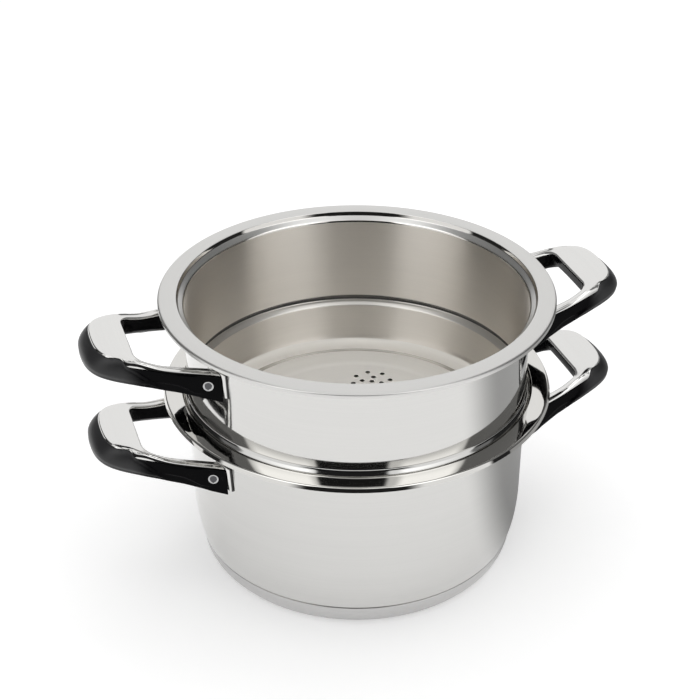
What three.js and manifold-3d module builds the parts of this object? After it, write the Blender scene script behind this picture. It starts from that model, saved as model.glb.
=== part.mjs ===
// A low two-handled steel pot with a perforated steamer insert standing in its rim.
// Millimetres, +Z up. The origin is the centre of the pot's underside on the table,
// and the handles lie along the X axis.

import * as THREE from 'three';
import { mergeVertices } from 'three/addons/utils/BufferGeometryUtils.js';
import Module from 'manifold-3d';

const wasm = await Module();
wasm.setup();

// Clearances between pieces
const fitGap = 0.3;
const grooveGap = 0.5;

// Sheet and walls shared by the pot and the insert
const sheet = 0.9;
const wallRadius = 117;
const wallInside = wallRadius - sheet;

// Rim: a crowned flange with a turned-down lip, and a stepped seat inside it
const rimRadius = 133.5;
const seatRadius = 120.5;
const seatDepth = 2.8;
const ledgeDrop = 2.8;
const flangeThickness = 1.3;
const flangeFall = 0.7;
const lipDrop = 3.3;
const lipWidth = 2.4;

// Pot
const potHeight = 128.7;
const potCornerTop = 52;
const potCornerBend = 30;
const potWallTaper = 0.5;
const potGrooveHeight = 15.8;
const potGrooveRadius = 111.9;
const potFloorRadius = 99;

// Heat-spreading base under the pot
const capSheet = 0.8;
const capFlatRadius = 104.4;
const capHeelRadius = 106.6;
const capHeelHeight = 1.6;
const capBend = 6;
const coreThickness = 4.7;
const coreRadius = 98;

// Insert
const insertRise = 69.2;
const insertDepth = 36.3;
const insertNeckRadius = 114.6;
const beadRadius = 119.4;
const beadTop = 2.2;
const beadCrest = -0.8;
const insertCorner = 7.5;
const insertCornerReach = 9;
const floorRingRadius = 101;
const floorRingSlope = 3;
const floorStep = 0.8;
const floorDiscRadius = 78;

// Steam holes: one petal of holes, repeated around the middle of the insert's floor
const holeRadius = 1.75;
const holeFacets = 6;
const petals = 6;
const petalTipRadius = 67.4;
const petalWideRadius = 61.4;
const petalFullRadius = 55.3;
const petalSideRadius = 51.5;
const petalWaistRadius = 44;
const petalNeckRadius = 36;
const petalRootRadius = 20;
const petalRows = [
  { radius: petalTipRadius, halfAngles: [4.7] },
  { radius: petalWideRadius, halfAngles: [0, 12] },
  { radius: petalFullRadius, halfAngles: [0, 7.5] },
  { radius: petalSideRadius, halfAngles: [14.5] },
  { radius: petalWaistRadius, halfAngles: [0] },
  { radius: petalNeckRadius, halfAngles: [11] },
  { radius: petalRootRadius, halfAngles: [0] },
];

// Handles: a D-shaped loop that rises outwards, black grip below and steel cover on top.
// Reach runs outwards along the loop, level is measured square to it.
const potHandleDrop = 27;
const insertHandleDrop = 24;
const handleSetting = {
  pot: { tilt: 10.6, drop: potHandleDrop },
  insert: { tilt: 8.2, drop: insertHandleDrop },
};
const handleRootRadius = 104;
const rootReach = -16;
const loopTop = 7.5;
const loopBottomRoot = -12.8;
const loopBottomNose = -7.4;
const noseReach = 84.2;
const noseTopReach = 77;
const noseEdgeReach = 78.6;
const noseUpperReach = 82;
const noseFootReach = 82.2;
const bulgeEdge = 0.3;
const bulgeUpper = 1.4;
const bulgeMiddle = 2.2;
const bulgeLower = 2.4;
const bulgeFoot = 1.2;
const insetTop = 1;
const insetLower = 0.7;
const insetFoot = 2.8;
const armOuterRoot = 53.7;
const armOuterEnd = 34.9;
const armEndReach = 54;
// Rows of the loop's outer surface, from top to bottom as shares of its depth
const loopRows = [
  { share: 0, nose: noseTopReach, fullness: 0.58, bulge: 0, inset: insetTop },
  { share: 0.08, nose: noseEdgeReach, fullness: 0.6, bulge: bulgeEdge, inset: 0 },
  { share: 0.34, nose: noseUpperReach, fullness: 0.65, bulge: bulgeUpper, inset: 0 },
  { share: 0.62, nose: noseReach, fullness: 0.72, bulge: bulgeMiddle, inset: 0 },
  { share: 0.86, nose: noseReach, fullness: 0.74, bulge: bulgeLower, inset: insetLower },
  { share: 1, nose: noseFootReach, fullness: 0.72, bulge: bulgeFoot, inset: insetFoot },
];
const gapReach = 53.9;
const armInnerRoot = 42.4;
const armInnerEnd = 27;
const gapCorner = 7;
const gapFlareTop = 4.6;
const gapFlareBottom = 4.4;
// Rows of the finger gap, running past the loop's top and bottom
const gapRows = [
  { share: -0.1, growth: gapFlareTop },
  { share: 0.28, growth: 0 },
  { share: 0.7, growth: 0 },
  { share: 1.1, growth: gapFlareBottom },
];
const scoopRadius = 18;
const scoopDepth = 4;
const scoopHalfLength = 22;
const panelFoot = 14;
const panelTip = 33;

// The saddle of a loop's top: its arms dip between the root and the bar
const saddleRoot = 5.6;
const saddleLow = 3.9;
const saddleStart = 6;
const saddleBend = 22;
const saddleReach = 34;
const saddleRise = 48;
const saddleEnd = 60;

// Steel cover on a loop
const coverThickness = 2.2;
const coverNoseReach = 75.7;
const coverCornerReach = 72;
const coverCornerHalf = 26.7;
const coverNotchReach = 63.8;
const coverNotchHalf = 30.6;
const coverShoulderReach = 57.5;

// What fastens a handle: a bracket on the wall, its tongue, a cross pin and a plain disc
const bracketThickness = 1.8;
const bracketMargin = 0.8;
const bracketBottom = -10;
const tongueReach = 17;
const tongueWidth = 4;
const tongueHeight = 7;
const tongueLevel = -3;
const pinReach = 11;
const pinRadius = 1.5;
const pinInset = 2.6;
const discRadius = 3.4;
const discThickness = 1.2;

// Facets
const vesselFacets = 48;
const curveSteps = 2;
const noseSteps = 6;
const scoopFacets = 16;
const pinFacets = 6;
const discFacets = 12;
const weld = 1e-4;

// Finishes
const finish = (color, roughness, metalness) =>
  new THREE.MeshStandardMaterial({ color, roughness, metalness });
const polishedSteel = finish(0xd6d4d0, 0.12, 1);
const satinSteel = finish(0xb4b3b0, 0.32, 1);
const aluminium = finish(0xc4c6c8, 0.45, 1);
const blackPhenolic = finish(0x131315, 0.28, 0);

// A closed three.js geometry as a solid that can be joined and cut
function solid(geometry) {
  const bare = geometry.index ? geometry.toNonIndexed() : geometry.clone();
  bare.deleteAttribute('normal');
  bare.deleteAttribute('uv');
  const welded = mergeVertices(bare, weld);
  const corners = welded.index.array;
  const kept = [];
  for (let i = 0; i < corners.length; i += 3) {
    const [a, b, c] = corners.slice(i, i + 3);
    if (a !== b && b !== c && c !== a) kept.push(a, b, c);
  }
  return new wasm.Manifold(new wasm.Mesh({
    numProp: 3,
    vertProperties: new Float32Array(welded.attributes.position.array),
    triVerts: new Uint32Array(kept),
  }));
}

// The geometry of a finished solid
function geometryOf(body) {
  const mesh = body.getMesh();
  const geometry = new THREE.BufferGeometry();
  geometry.setAttribute('position', new THREE.BufferAttribute(mesh.vertProperties, 3));
  geometry.setIndex(new THREE.BufferAttribute(mesh.triVerts, 1));
  geometry.computeVertexNormals();
  return geometry;
}

// A profile in radius and height, turned about the Z axis
function turned(profile) {
  const geometry = new THREE.LatheGeometry(profile.getPoints(curveSteps), vesselFacets);
  return geometry.rotateX(Math.PI / 2);
}

// An upright cylinder about the Z axis between two heights
function upright(radius, low, high, facets) {
  const geometry = new THREE.CylinderGeometry(radius, radius, high - low, facets);
  return geometry.rotateX(Math.PI / 2).translate(0, 0, (low + high) / 2);
}

// Carries a vessel's profile from its outer wall over the rim and down to its inner wall
function addRim(profile, rimHeight) {
  const ledgeTop = rimHeight - seatDepth;
  const ledgeFoot = ledgeTop - ledgeDrop;
  profile.lineTo(wallRadius, ledgeFoot - sheet);
  profile.lineTo(seatRadius + sheet, ledgeTop - sheet);
  profile.lineTo(seatRadius + sheet, rimHeight - flangeThickness);
  profile.lineTo(rimRadius - lipWidth, rimHeight - flangeThickness - flangeFall);
  profile.lineTo(rimRadius - lipWidth / 2, rimHeight - lipDrop);
  profile.quadraticCurveTo(rimRadius, rimHeight - lipDrop, rimRadius, rimHeight - lipDrop / 2);
  profile.quadraticCurveTo(
    rimRadius - lipWidth / 4, rimHeight - flangeFall, rimRadius - lipWidth, rimHeight - flangeFall / 2);
  profile.lineTo((rimRadius + seatRadius) / 2, rimHeight);
  profile.lineTo(seatRadius, rimHeight);
  profile.lineTo(seatRadius, ledgeTop);
  profile.lineTo(wallInside, ledgeFoot);
}

// Height of the sloping ledge inside the pot's rim at a radius
function ledgeHeight(radius) {
  const run = seatRadius - wallInside;
  return potHeight - seatDepth - (ledgeDrop * (seatRadius - radius)) / run;
}

// Underside of the pot's floor, which lies on the core
const coreBottom = capSheet + fitGap;
const coreTop = coreBottom + coreThickness;
const potUnderside = coreTop + fitGap;
const capTop = potGrooveHeight - grooveGap;
const capRimRadius = potGrooveRadius - grooveGap;
const heelInside = capRimRadius - capSheet - fitGap;

function potShell() {
  const profile = new THREE.Path();
  const bendRadius = wallRadius - potWallTaper;
  profile.moveTo(0, potUnderside);
  profile.lineTo(potFloorRadius, potUnderside);
  profile.quadraticCurveTo(heelInside, potUnderside, heelInside, potGrooveHeight);
  profile.lineTo(potGrooveRadius, potGrooveHeight);
  profile.quadraticCurveTo(bendRadius, potCornerBend, bendRadius, potCornerTop);
  addRim(profile, potHeight);
  profile.lineTo(bendRadius - sheet, potCornerTop);
  profile.quadraticCurveTo(
    bendRadius - sheet, potCornerBend, potGrooveRadius - sheet, potGrooveHeight + sheet);
  profile.quadraticCurveTo(
    heelInside - sheet, potUnderside + sheet, potFloorRadius, potUnderside + sheet);
  profile.lineTo(0, potUnderside + sheet);
  return turned(profile);
}

function baseCap() {
  const profile = new THREE.Path();
  profile.moveTo(0, 0);
  profile.lineTo(capFlatRadius, 0);
  profile.lineTo(capHeelRadius, capHeelHeight);
  profile.quadraticCurveTo(capRimRadius, capBend, capRimRadius, capTop);
  profile.lineTo(capRimRadius - capSheet, capTop);
  profile.quadraticCurveTo(
    capRimRadius - capSheet, capBend + capSheet, capHeelRadius - capSheet, capHeelHeight + capSheet / 2);
  profile.lineTo(capFlatRadius - capSheet / 2, capSheet);
  profile.lineTo(0, capSheet);
  return turned(profile);
}

function baseCore() {
  return upright(coreRadius, coreBottom, coreTop, vesselFacets);
}

function insertBlank() {
  const floor = potHeight - insertDepth;
  const underside = floor - sheet;
  const neckInside = insertNeckRadius - sheet;
  const bearing = wallInside + fitGap + sheet / 4;
  const shoulder = beadRadius - sheet / 2;
  const bearingHeight = ledgeHeight(bearing) + fitGap;
  const shoulderHeight = ledgeHeight(shoulder) + fitGap;
  const discEdge = floorDiscRadius + floorRingSlope;
  const ringEdge = floorRingRadius - floorRingSlope;
  const profile = new THREE.Path();
  profile.moveTo(0, underside - floorStep);
  profile.lineTo(floorDiscRadius, underside - floorStep);
  profile.lineTo(discEdge, underside);
  profile.lineTo(ringEdge, underside);
  profile.lineTo(floorRingRadius, underside - floorStep);
  profile.lineTo(insertNeckRadius - insertCornerReach, underside - floorStep);
  profile.quadraticCurveTo(insertNeckRadius, underside, insertNeckRadius, underside + insertCorner);
  profile.lineTo(insertNeckRadius, bearingHeight - 2 * sheet);
  profile.lineTo(bearing, bearingHeight);
  profile.lineTo(shoulder, shoulderHeight);
  profile.lineTo(beadRadius, potHeight + beadCrest);
  profile.lineTo(wallRadius, potHeight + beadTop);
  addRim(profile, potHeight + insertRise);
  profile.lineTo(wallInside, potHeight + beadTop - sheet / 2);
  profile.lineTo(beadRadius - sheet, potHeight + beadCrest);
  profile.lineTo(shoulder - sheet, shoulderHeight + sheet / 2);
  profile.lineTo(bearing - sheet / 2, bearingHeight + sheet);
  profile.lineTo(neckInside, bearingHeight - sheet);
  profile.lineTo(neckInside, floor + insertCorner);
  profile.quadraticCurveTo(neckInside, floor, insertNeckRadius - insertCornerReach, floor - floorStep);
  profile.lineTo(floorRingRadius - sheet / 2, floor - floorStep);
  profile.lineTo(ringEdge - sheet / 2, floor);
  profile.lineTo(discEdge - sheet / 2, floor);
  profile.lineTo(floorDiscRadius - sheet / 2, floor - floorStep);
  profile.lineTo(0, floor - floorStep);
  return turned(profile);
}

// The insert's shell with its steam holes cut through the middle of the floor
function insertShell() {
  const holeTop = potHeight - insertDepth + sheet;
  const holeBottom = potHeight - insertDepth - floorStep - 2 * sheet;
  const punch = (radius, angle) => solid(upright(holeRadius, holeBottom, holeTop, holeFacets)
    .translate(radius * Math.cos(angle), radius * Math.sin(angle), 0));
  const punches = [punch(0, 0)];
  for (let petal = 0; petal < petals; petal += 1) {
    const middle = (2 * Math.PI * petal) / petals;
    for (const { radius, halfAngles } of petalRows) {
      for (const half of halfAngles) {
        const spread = THREE.MathUtils.degToRad(half);
        const angles = half === 0 ? [middle] : [middle - spread, middle + spread];
        for (const angle of angles) punches.push(punch(radius, angle));
      }
    }
  }
  return geometryOf(solid(insertBlank()).subtract(wasm.Manifold.union(punches)));
}

// The two arms of a loop
const sides = [1, -1];

// Half width of a handle arm's outer or inner face at a reach along the loop
const armOuter = (reach) => armOuterRoot + ((armOuterEnd - armOuterRoot) * reach) / armEndReach;
const armInner = (reach) => armInnerRoot + ((armInnerEnd - armInnerRoot) * reach) / gapReach;

// Level of the loop's underside, and of a row of it, at a reach
const bottomAt = (reach) => loopBottomRoot + ((loopBottomNose - loopBottomRoot) * reach) / noseReach;
const levelAt = (share, reach) => loopTop - share * (loopTop - bottomAt(reach));

// An outline in reach and half width, raised between two levels of the loop
function slab(outline, low, high) {
  const settings = { depth: high - low, bevelEnabled: false, curveSegments: curveSteps };
  return new THREE.ExtrudeGeometry(outline, settings).translate(0, 0, low);
}

// One half of a symmetric outline with its mirror image, counter-clockwise from above
function mirrored(half) {
  const other = half.map(({ x, y }) => new THREE.Vector2(x, -y));
  return [...other, ...half.reverse().filter(({ y }) => y > weld)];
}

// A closed solid through rows of equally many points, listed from the top down
function loft(rows) {
  const count = rows[0].outline.length;
  const points = rows.flatMap(({ share, outline }) =>
    outline.map(({ x, y }) => new THREE.Vector3(x, y, levelAt(share, x))));
  const corners = [];
  for (let row = 0; row + 1 < rows.length; row += 1) {
    for (let i = 0; i < count; i += 1) {
      const here = row * count + i;
      const next = row * count + ((i + 1) % count);
      corners.push(here, here + count, next + count, here, next + count, next);
    }
  }
  const last = points.length - count;
  for (const face of THREE.ShapeUtils.triangulateShape(rows[0].outline, [])) corners.push(...face);
  for (const [a, b, c] of THREE.ShapeUtils.triangulateShape(rows.at(-1).outline, [])) {
    corners.push(last + a, last + c, last + b);
  }
  return new THREE.BufferGeometry().setFromPoints(points).setIndex(corners);
}

// The outer outline of a loop's row: straight arms and a full, rounded nose
function loopOutline({ nose, fullness, bulge, inset }) {
  const end = armOuterEnd + bulge - inset;
  const lean = (armOuterEnd - armOuterRoot) / armEndReach;
  const run = fullness * (nose - armEndReach);
  const curve = new THREE.CubicBezierCurve(
    new THREE.Vector2(armEndReach, end),
    new THREE.Vector2(armEndReach + run, end + lean * run),
    new THREE.Vector2(nose, fullness * end),
    new THREE.Vector2(nose, 0));
  const root = new THREE.Vector2(rootReach, armOuter(rootReach) - inset);
  return mirrored([root, ...curve.getPoints(noseSteps)]);
}

// The outline of a row of the finger gap between the arms
function gapOutline({ growth }) {
  const back = rootReach / 2;
  const end = gapReach + growth;
  const turn = end - gapCorner;
  const curve = new THREE.QuadraticBezierCurve(
    new THREE.Vector2(turn, armInner(turn) + growth),
    new THREE.Vector2(end, armInnerEnd + growth),
    new THREE.Vector2(end, armInnerEnd + growth - gapCorner));
  return mirrored([new THREE.Vector2(back, armInner(back) + growth), ...curve.getPoints(curveSteps)]);
}

// A side view in reach and level, carried across the whole width of the loop
function acrossLoop(outline) {
  const width = 4 * armOuterRoot;
  return solid(slab(outline, -width / 2, width / 2).rotateX(Math.PI / 2));
}

// Everything above the loop's saddle, with the saddle lowered by a drop
function aboveSaddle(drop) {
  const outline = new THREE.Shape();
  outline.moveTo(rootReach, saddleRoot - drop);
  outline.lineTo(saddleStart, saddleRoot - drop);
  outline.quadraticCurveTo(saddleBend, saddleLow - drop, saddleReach, saddleLow - drop);
  outline.quadraticCurveTo(saddleRise, saddleLow - drop, saddleEnd, loopTop - drop);
  outline.lineTo(noseReach, loopTop - drop);
  outline.lineTo(noseReach, loopTop + coverThickness);
  outline.lineTo(rootReach, loopTop + coverThickness);
  outline.closePath();
  return acrossLoop(outline);
}

// A block along one arm's root, between levels of the loop
function armBlock(side, margin, near, far, low, high) {
  const corners = [
    [near, armInner(near) - margin],
    [near, armOuter(near) + margin],
    [far, armOuter(far) + margin],
    [far, armInner(far) - margin],
  ].map(([reach, half]) => new THREE.Vector2(reach, side * half));
  return slab(new THREE.Shape(corners), low, high);
}

// The flat panels at the arms' ends, which run out into the arms' sides in a curve
function endPanels() {
  const outline = new THREE.Shape();
  outline.moveTo(rootReach, 0);
  outline.lineTo(rootReach, bottomAt(rootReach));
  outline.lineTo(panelFoot, bottomAt(panelFoot));
  outline.quadraticCurveTo(panelFoot + gapCorner, bottomAt(panelFoot) / 2, panelTip, bottomAt(panelTip) / 2);
  outline.lineTo(panelTip, 0);
  outline.closePath();
  const arms = sides.map((side) => solid(armBlock(side, 0, rootReach, panelTip, bottomAt(rootReach), 0)));
  return acrossLoop(outline).intersect(wasm.Manifold.union(arms));
}

function loopBody() {
  const outer = loft(loopRows.map((row) => ({ share: row.share, outline: loopOutline(row) })));
  const gap = loft(gapRows.map((row) => ({ share: row.share, outline: gapOutline(row) })));
  const scoop = new THREE.CylinderGeometry(scoopRadius, scoopRadius, 2 * scoopHalfLength, scoopFacets)
    .translate(gapReach, 0, bottomAt(gapReach) + scoopDepth - scoopRadius);
  return solid(outer).subtract(solid(gap)).subtract(solid(scoop)).add(endPanels()).subtract(aboveSaddle(0));
}

// The region of the loop that the steel cover takes, grown by a gap all round
function coverRegion(gap) {
  const nose = coverNoseReach + gap;
  const corner = coverCornerHalf + gap;
  const shoulder = coverShoulderReach + gap;
  const notch = coverNotchReach + gap;
  const outline = new THREE.Shape();
  outline.moveTo(rootReach, -2 * armOuterRoot);
  outline.lineTo(shoulder, -armOuterRoot);
  outline.lineTo(shoulder, -armOuterEnd);
  outline.quadraticCurveTo(shoulder, -coverNotchHalf, notch, -coverNotchHalf - gap);
  outline.lineTo(coverCornerReach + gap, -corner);
  outline.quadraticCurveTo(nose, -corner / 2, nose, 0);
  outline.quadraticCurveTo(nose, corner / 2, coverCornerReach + gap, corner);
  outline.lineTo(notch, coverNotchHalf + gap);
  outline.quadraticCurveTo(shoulder, coverNotchHalf, shoulder, armOuterEnd);
  outline.lineTo(shoulder, armOuterRoot);
  outline.lineTo(rootReach, 2 * armOuterRoot);
  outline.closePath();
  return solid(slab(outline, 0, loopTop + coverThickness)).intersect(aboveSaddle(coverThickness + gap));
}

// The tongue of a bracket, along the middle of an arm, grown by a gap all round
function tongue(side, gap) {
  const middle = (reach) => (armInner(reach) + armOuter(reach)) / 2;
  const half = tongueWidth / 2 + gap;
  const tip = tongueReach + gap;
  const corners = [
    [0, middle(0) - half],
    [0, middle(0) + half],
    [tip, middle(tip) + half],
    [tip, middle(tip) - half],
  ].map(([reach, v]) => new THREE.Vector2(reach, side * v));
  const low = tongueLevel - tongueHeight / 2 - gap;
  return slab(new THREE.Shape(corners), low, low + tongueHeight + 2 * gap);
}

// A round bar across an arm, measured inwards from the arm's outer face
function crossBar(side, radius, depthFrom, depthTo, facets) {
  const lean = Math.atan2(armOuterRoot - armOuterEnd, armEndReach);
  const bar = new THREE.CylinderGeometry(radius, radius, depthTo - depthFrom, facets)
    .translate(0, -(depthFrom + depthTo) / 2, 0)
    .rotateZ(-lean)
    .translate(pinReach, armOuter(pinReach), tongueLevel);
  return side > 0 ? bar : bar.rotateX(Math.PI).translate(0, 0, 2 * tongueLevel);
}

// Upright cylinders of the wall and of the brackets' outer face, through a handle's height
function wallCylinder(radius) {
  return solid(upright(radius, -potHeight, potHeight, vesselFacets));
}

const armThickness = armOuter(pinReach) - armInner(pinReach);
const pinStart = discThickness + fitGap;
const pinEnd = armThickness - pinInset;
const bracketFace = wallRadius + fitGap + bracketThickness;
const loop = loopBody();
const coverSpace = coverRegion(fitGap);
const coverBlank = coverRegion(0);

// Sets a solid of a handle into place: tilted up, with its root below the rim
function placement({ tilt, drop }) {
  const matrix = new THREE.Matrix4()
    .makeTranslation(handleRootRadius, 0, -drop)
    .multiply(new THREE.Matrix4().makeRotationY(-THREE.MathUtils.degToRad(tilt)));
  return (body) => body.transform(matrix.elements);
}

function handleCover(place) {
  return geometryOf(place(loop.intersect(coverBlank)).subtract(wallCylinder(bracketFace + fitGap)));
}

function handleGrip(place) {
  let grip = loop.subtract(coverSpace);
  for (const side of sides) {
    grip = grip.subtract(solid(tongue(side, fitGap)));
    const bore = crossBar(side, pinRadius + fitGap, pinStart - fitGap, pinEnd + fitGap, pinFacets);
    const pocket = crossBar(side, discRadius + fitGap, -discThickness, pinStart, discFacets);
    grip = grip.subtract(solid(bore)).subtract(solid(pocket));
  }
  return geometryOf(place(grip).subtract(wallCylinder(bracketFace + fitGap)));
}

function wallBracket(side, place) {
  const plate = solid(armBlock(
    side, bracketMargin, rootReach, tongueReach, bracketBottom, saddleRoot + bracketMargin));
  const ring = wallCylinder(bracketFace).subtract(wallCylinder(wallRadius + fitGap));
  const bore = solid(crossBar(side, pinRadius + fitGap, -discThickness, armThickness, pinFacets));
  const blade = place(solid(tongue(side, 0)).subtract(bore));
  return geometryOf(place(plate).intersect(ring)
    .add(blade.subtract(wallCylinder(bracketFace - bracketThickness / 2))));
}

function crossPin(side, place) {
  return geometryOf(place(solid(crossBar(side, pinRadius, pinStart, pinEnd, pinFacets))));
}

function plainDisc(side, place) {
  return geometryOf(place(solid(crossBar(side, discRadius, 0, discThickness, discFacets))));
}

function piece(name, geometry, material) {
  const mesh = new THREE.Mesh(geometry, material);
  mesh.name = name;
  return mesh;
}

// One handle of a vessel: direction 1 points along +X and -1 along -X
function handle(vessel, direction, rimHeight) {
  const group = new THREE.Group();
  const label = `${vessel}_${direction > 0 ? 'right' : 'left'}`;
  const place = placement(handleSetting[vessel]);
  group.add(piece(`${label}_cover`, handleCover(place), polishedSteel));
  group.add(piece(`${label}_grip`, handleGrip(place), blackPhenolic));
  for (const side of sides) {
    const end = side * direction > 0 ? 'back' : 'front';
    group.add(piece(`${label}_${end}_bracket`, wallBracket(side, place), polishedSteel));
    group.add(piece(`${label}_${end}_pin`, crossPin(side, place), satinSteel));
    group.add(piece(`${label}_${end}_disc`, plainDisc(side, place), satinSteel));
  }
  group.position.z = rimHeight;
  group.rotation.z = direction > 0 ? 0 : Math.PI;
  return group;
}

const pot = new THREE.Group();
pot.add(piece('pot_shell', geometryOf(solid(potShell())), polishedSteel));
pot.add(piece('pot_base_core', geometryOf(solid(baseCore())), aluminium));
pot.add(piece('pot_base_cap', geometryOf(solid(baseCap())), satinSteel));
const insert = new THREE.Group();
insert.add(piece('insert_shell', insertShell(), polishedSteel));
for (const direction of [1, -1]) {
  pot.add(handle('pot', direction, potHeight));
  insert.add(handle('insert', direction, potHeight + insertRise));
}

const cookware = new THREE.Group();
cookware.add(pot, insert);

export default cookware;
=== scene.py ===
"""Looks of a low steel pot with a lift-out steamer insert, both with black and steel loop handles."""
import logging
import math
from collections.abc import Callable, Sequence
from dataclasses import dataclass, field
from enum import Enum, IntEnum

import bmesh
import bpy
from mathutils import Matrix, Vector


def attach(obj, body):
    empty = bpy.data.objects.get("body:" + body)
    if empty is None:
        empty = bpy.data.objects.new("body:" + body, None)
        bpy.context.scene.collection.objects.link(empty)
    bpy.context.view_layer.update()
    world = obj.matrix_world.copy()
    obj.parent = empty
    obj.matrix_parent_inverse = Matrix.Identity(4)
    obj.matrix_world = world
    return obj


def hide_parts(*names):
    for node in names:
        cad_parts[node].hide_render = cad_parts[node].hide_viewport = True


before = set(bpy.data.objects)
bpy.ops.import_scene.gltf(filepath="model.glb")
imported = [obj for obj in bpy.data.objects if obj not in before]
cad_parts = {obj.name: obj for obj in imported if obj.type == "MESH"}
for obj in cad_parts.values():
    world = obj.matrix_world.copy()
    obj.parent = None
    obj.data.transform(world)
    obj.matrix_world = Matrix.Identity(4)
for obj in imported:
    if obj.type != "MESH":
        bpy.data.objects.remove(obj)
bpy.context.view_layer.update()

LOG = logging.getLogger("steamer_pot")
MM = 0.001
WELD = 1e-7
DOUBLE = 1e-6


class Vessel(Enum):
    """The two vessels, which are also the bodies that pieces ride on."""

    POT = "pot"
    INSERT = "insert"


class Side(Enum):
    """The side of a vessel that a handle stands on, with its turn about the axis."""

    RIGHT = ("right", 0.0)
    LEFT = ("left", math.pi)

    @property
    def label(self) -> str:
        """The side's word in node names."""
        return self.value[0]

    @property
    def turn(self) -> float:
        """The side's turn about the vessels' axis, in radians."""
        return self.value[1]


class Arm(Enum):
    """The two arms of a handle's loop, by the sign of their half width."""

    PLUS = 1
    MINUS = -1


class Slot(Enum):
    """The record's material slots."""

    VESSEL = "vessel_steel"
    HANDLE = "handle_steel"
    BASE = "base_steel"
    FASTENER = "fastener_steel"
    GRIP = "grip_black"


class Zone(IntEnum):
    """The zones of a vessel's surface, by the numbers of their finishes."""

    OUTSIDE = 0
    RIM = 1
    INSIDE = 2
    FLOOR = 3
    SEAT = 4
    # Faces painted dark as shade: the bead's hollow, the steam holes' walls and the outside in the groove
    # over the base.
    PAINTED_SHADE = 5
    GROOVE = 6


# Small helpers


def smoothstep(low: float, high: float, value: float) -> float:
    """Eases from 0 at low to 1 at high.

    Args:
        low: Where the ease starts.
        high: Where the ease ends.
        value: The value to ease.

    Returns:
        A share from 0 to 1.
    """
    share = min(max((value - low) / (high - low), 0.0), 1.0)
    return share * share * (3.0 - 2.0 * share)


def mix(low: float, high: float, share: float) -> float:
    """Returns the value a share of the way from low to high."""
    return low + (high - low) * share


def shares(steps: int) -> list[float]:
    """Returns evenly spaced shares from 0 to 1 in a number of steps."""
    return [step / steps for step in range(steps + 1)]


def finish_mesh(name: str, bm: bmesh.types.BMesh, sharp: float) -> bpy.types.Object:
    """Turns a bmesh into a smooth-shaded object at the origin.

    Args:
        name: The piece's name.
        bm: The bmesh, which is freed.
        sharp: Edges that bend by more than this many degrees stay sharp.

    Returns:
        The new object, linked to the scene.
    """
    mesh = bpy.data.meshes.new(name)
    bm.to_mesh(mesh)
    bm.free()
    mesh.shade_smooth()
    mesh.set_sharp_from_angle(angle=math.radians(sharp))
    made = bpy.data.objects.new(name, mesh)
    bpy.context.scene.collection.objects.link(made)
    return made


def settle(
    piece: bpy.types.Object, body: Vessel, nodes: Sequence[str],
    finishes: Sequence[bpy.types.Material],
) -> None:
    """Puts a finished piece on its body in place of CAD nodes.

    Args:
        piece: The piece.
        body: The vessel it moves with.
        nodes: The CAD nodes it stands for.
        finishes: Its materials, in the order of its faces' material numbers.
    """
    for finish in finishes:
        piece.data.materials.append(finish)
    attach(piece, body.value)
    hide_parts(*nodes)
    used = {face.material_index for face in piece.data.polygons}
    LOG.info("%s: %d faces, %d finishes, on %s", piece.name, len(piece.data.polygons), len(used), body.value)


def recoat(node: str, finish: bpy.types.Material) -> None:
    """Gives one finish to a CAD node that is kept as it is.

    Args:
        node: The node's name.
        finish: Its material.
    """
    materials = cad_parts[node].data.materials
    materials.clear()
    materials.append(finish)
    LOG.info("%s: kept, with a new finish", node)


# Shader nodes

Socket = bpy.types.NodeSocket
Group = bpy.types.ShaderNodeTree
# A Mix node's sockets for two values, for two colours and for the mixed colour.
MIX_VALUES = (2, 3)
MIX_COLOURS = (6, 7)
MIXED_COLOUR = 2


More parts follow.
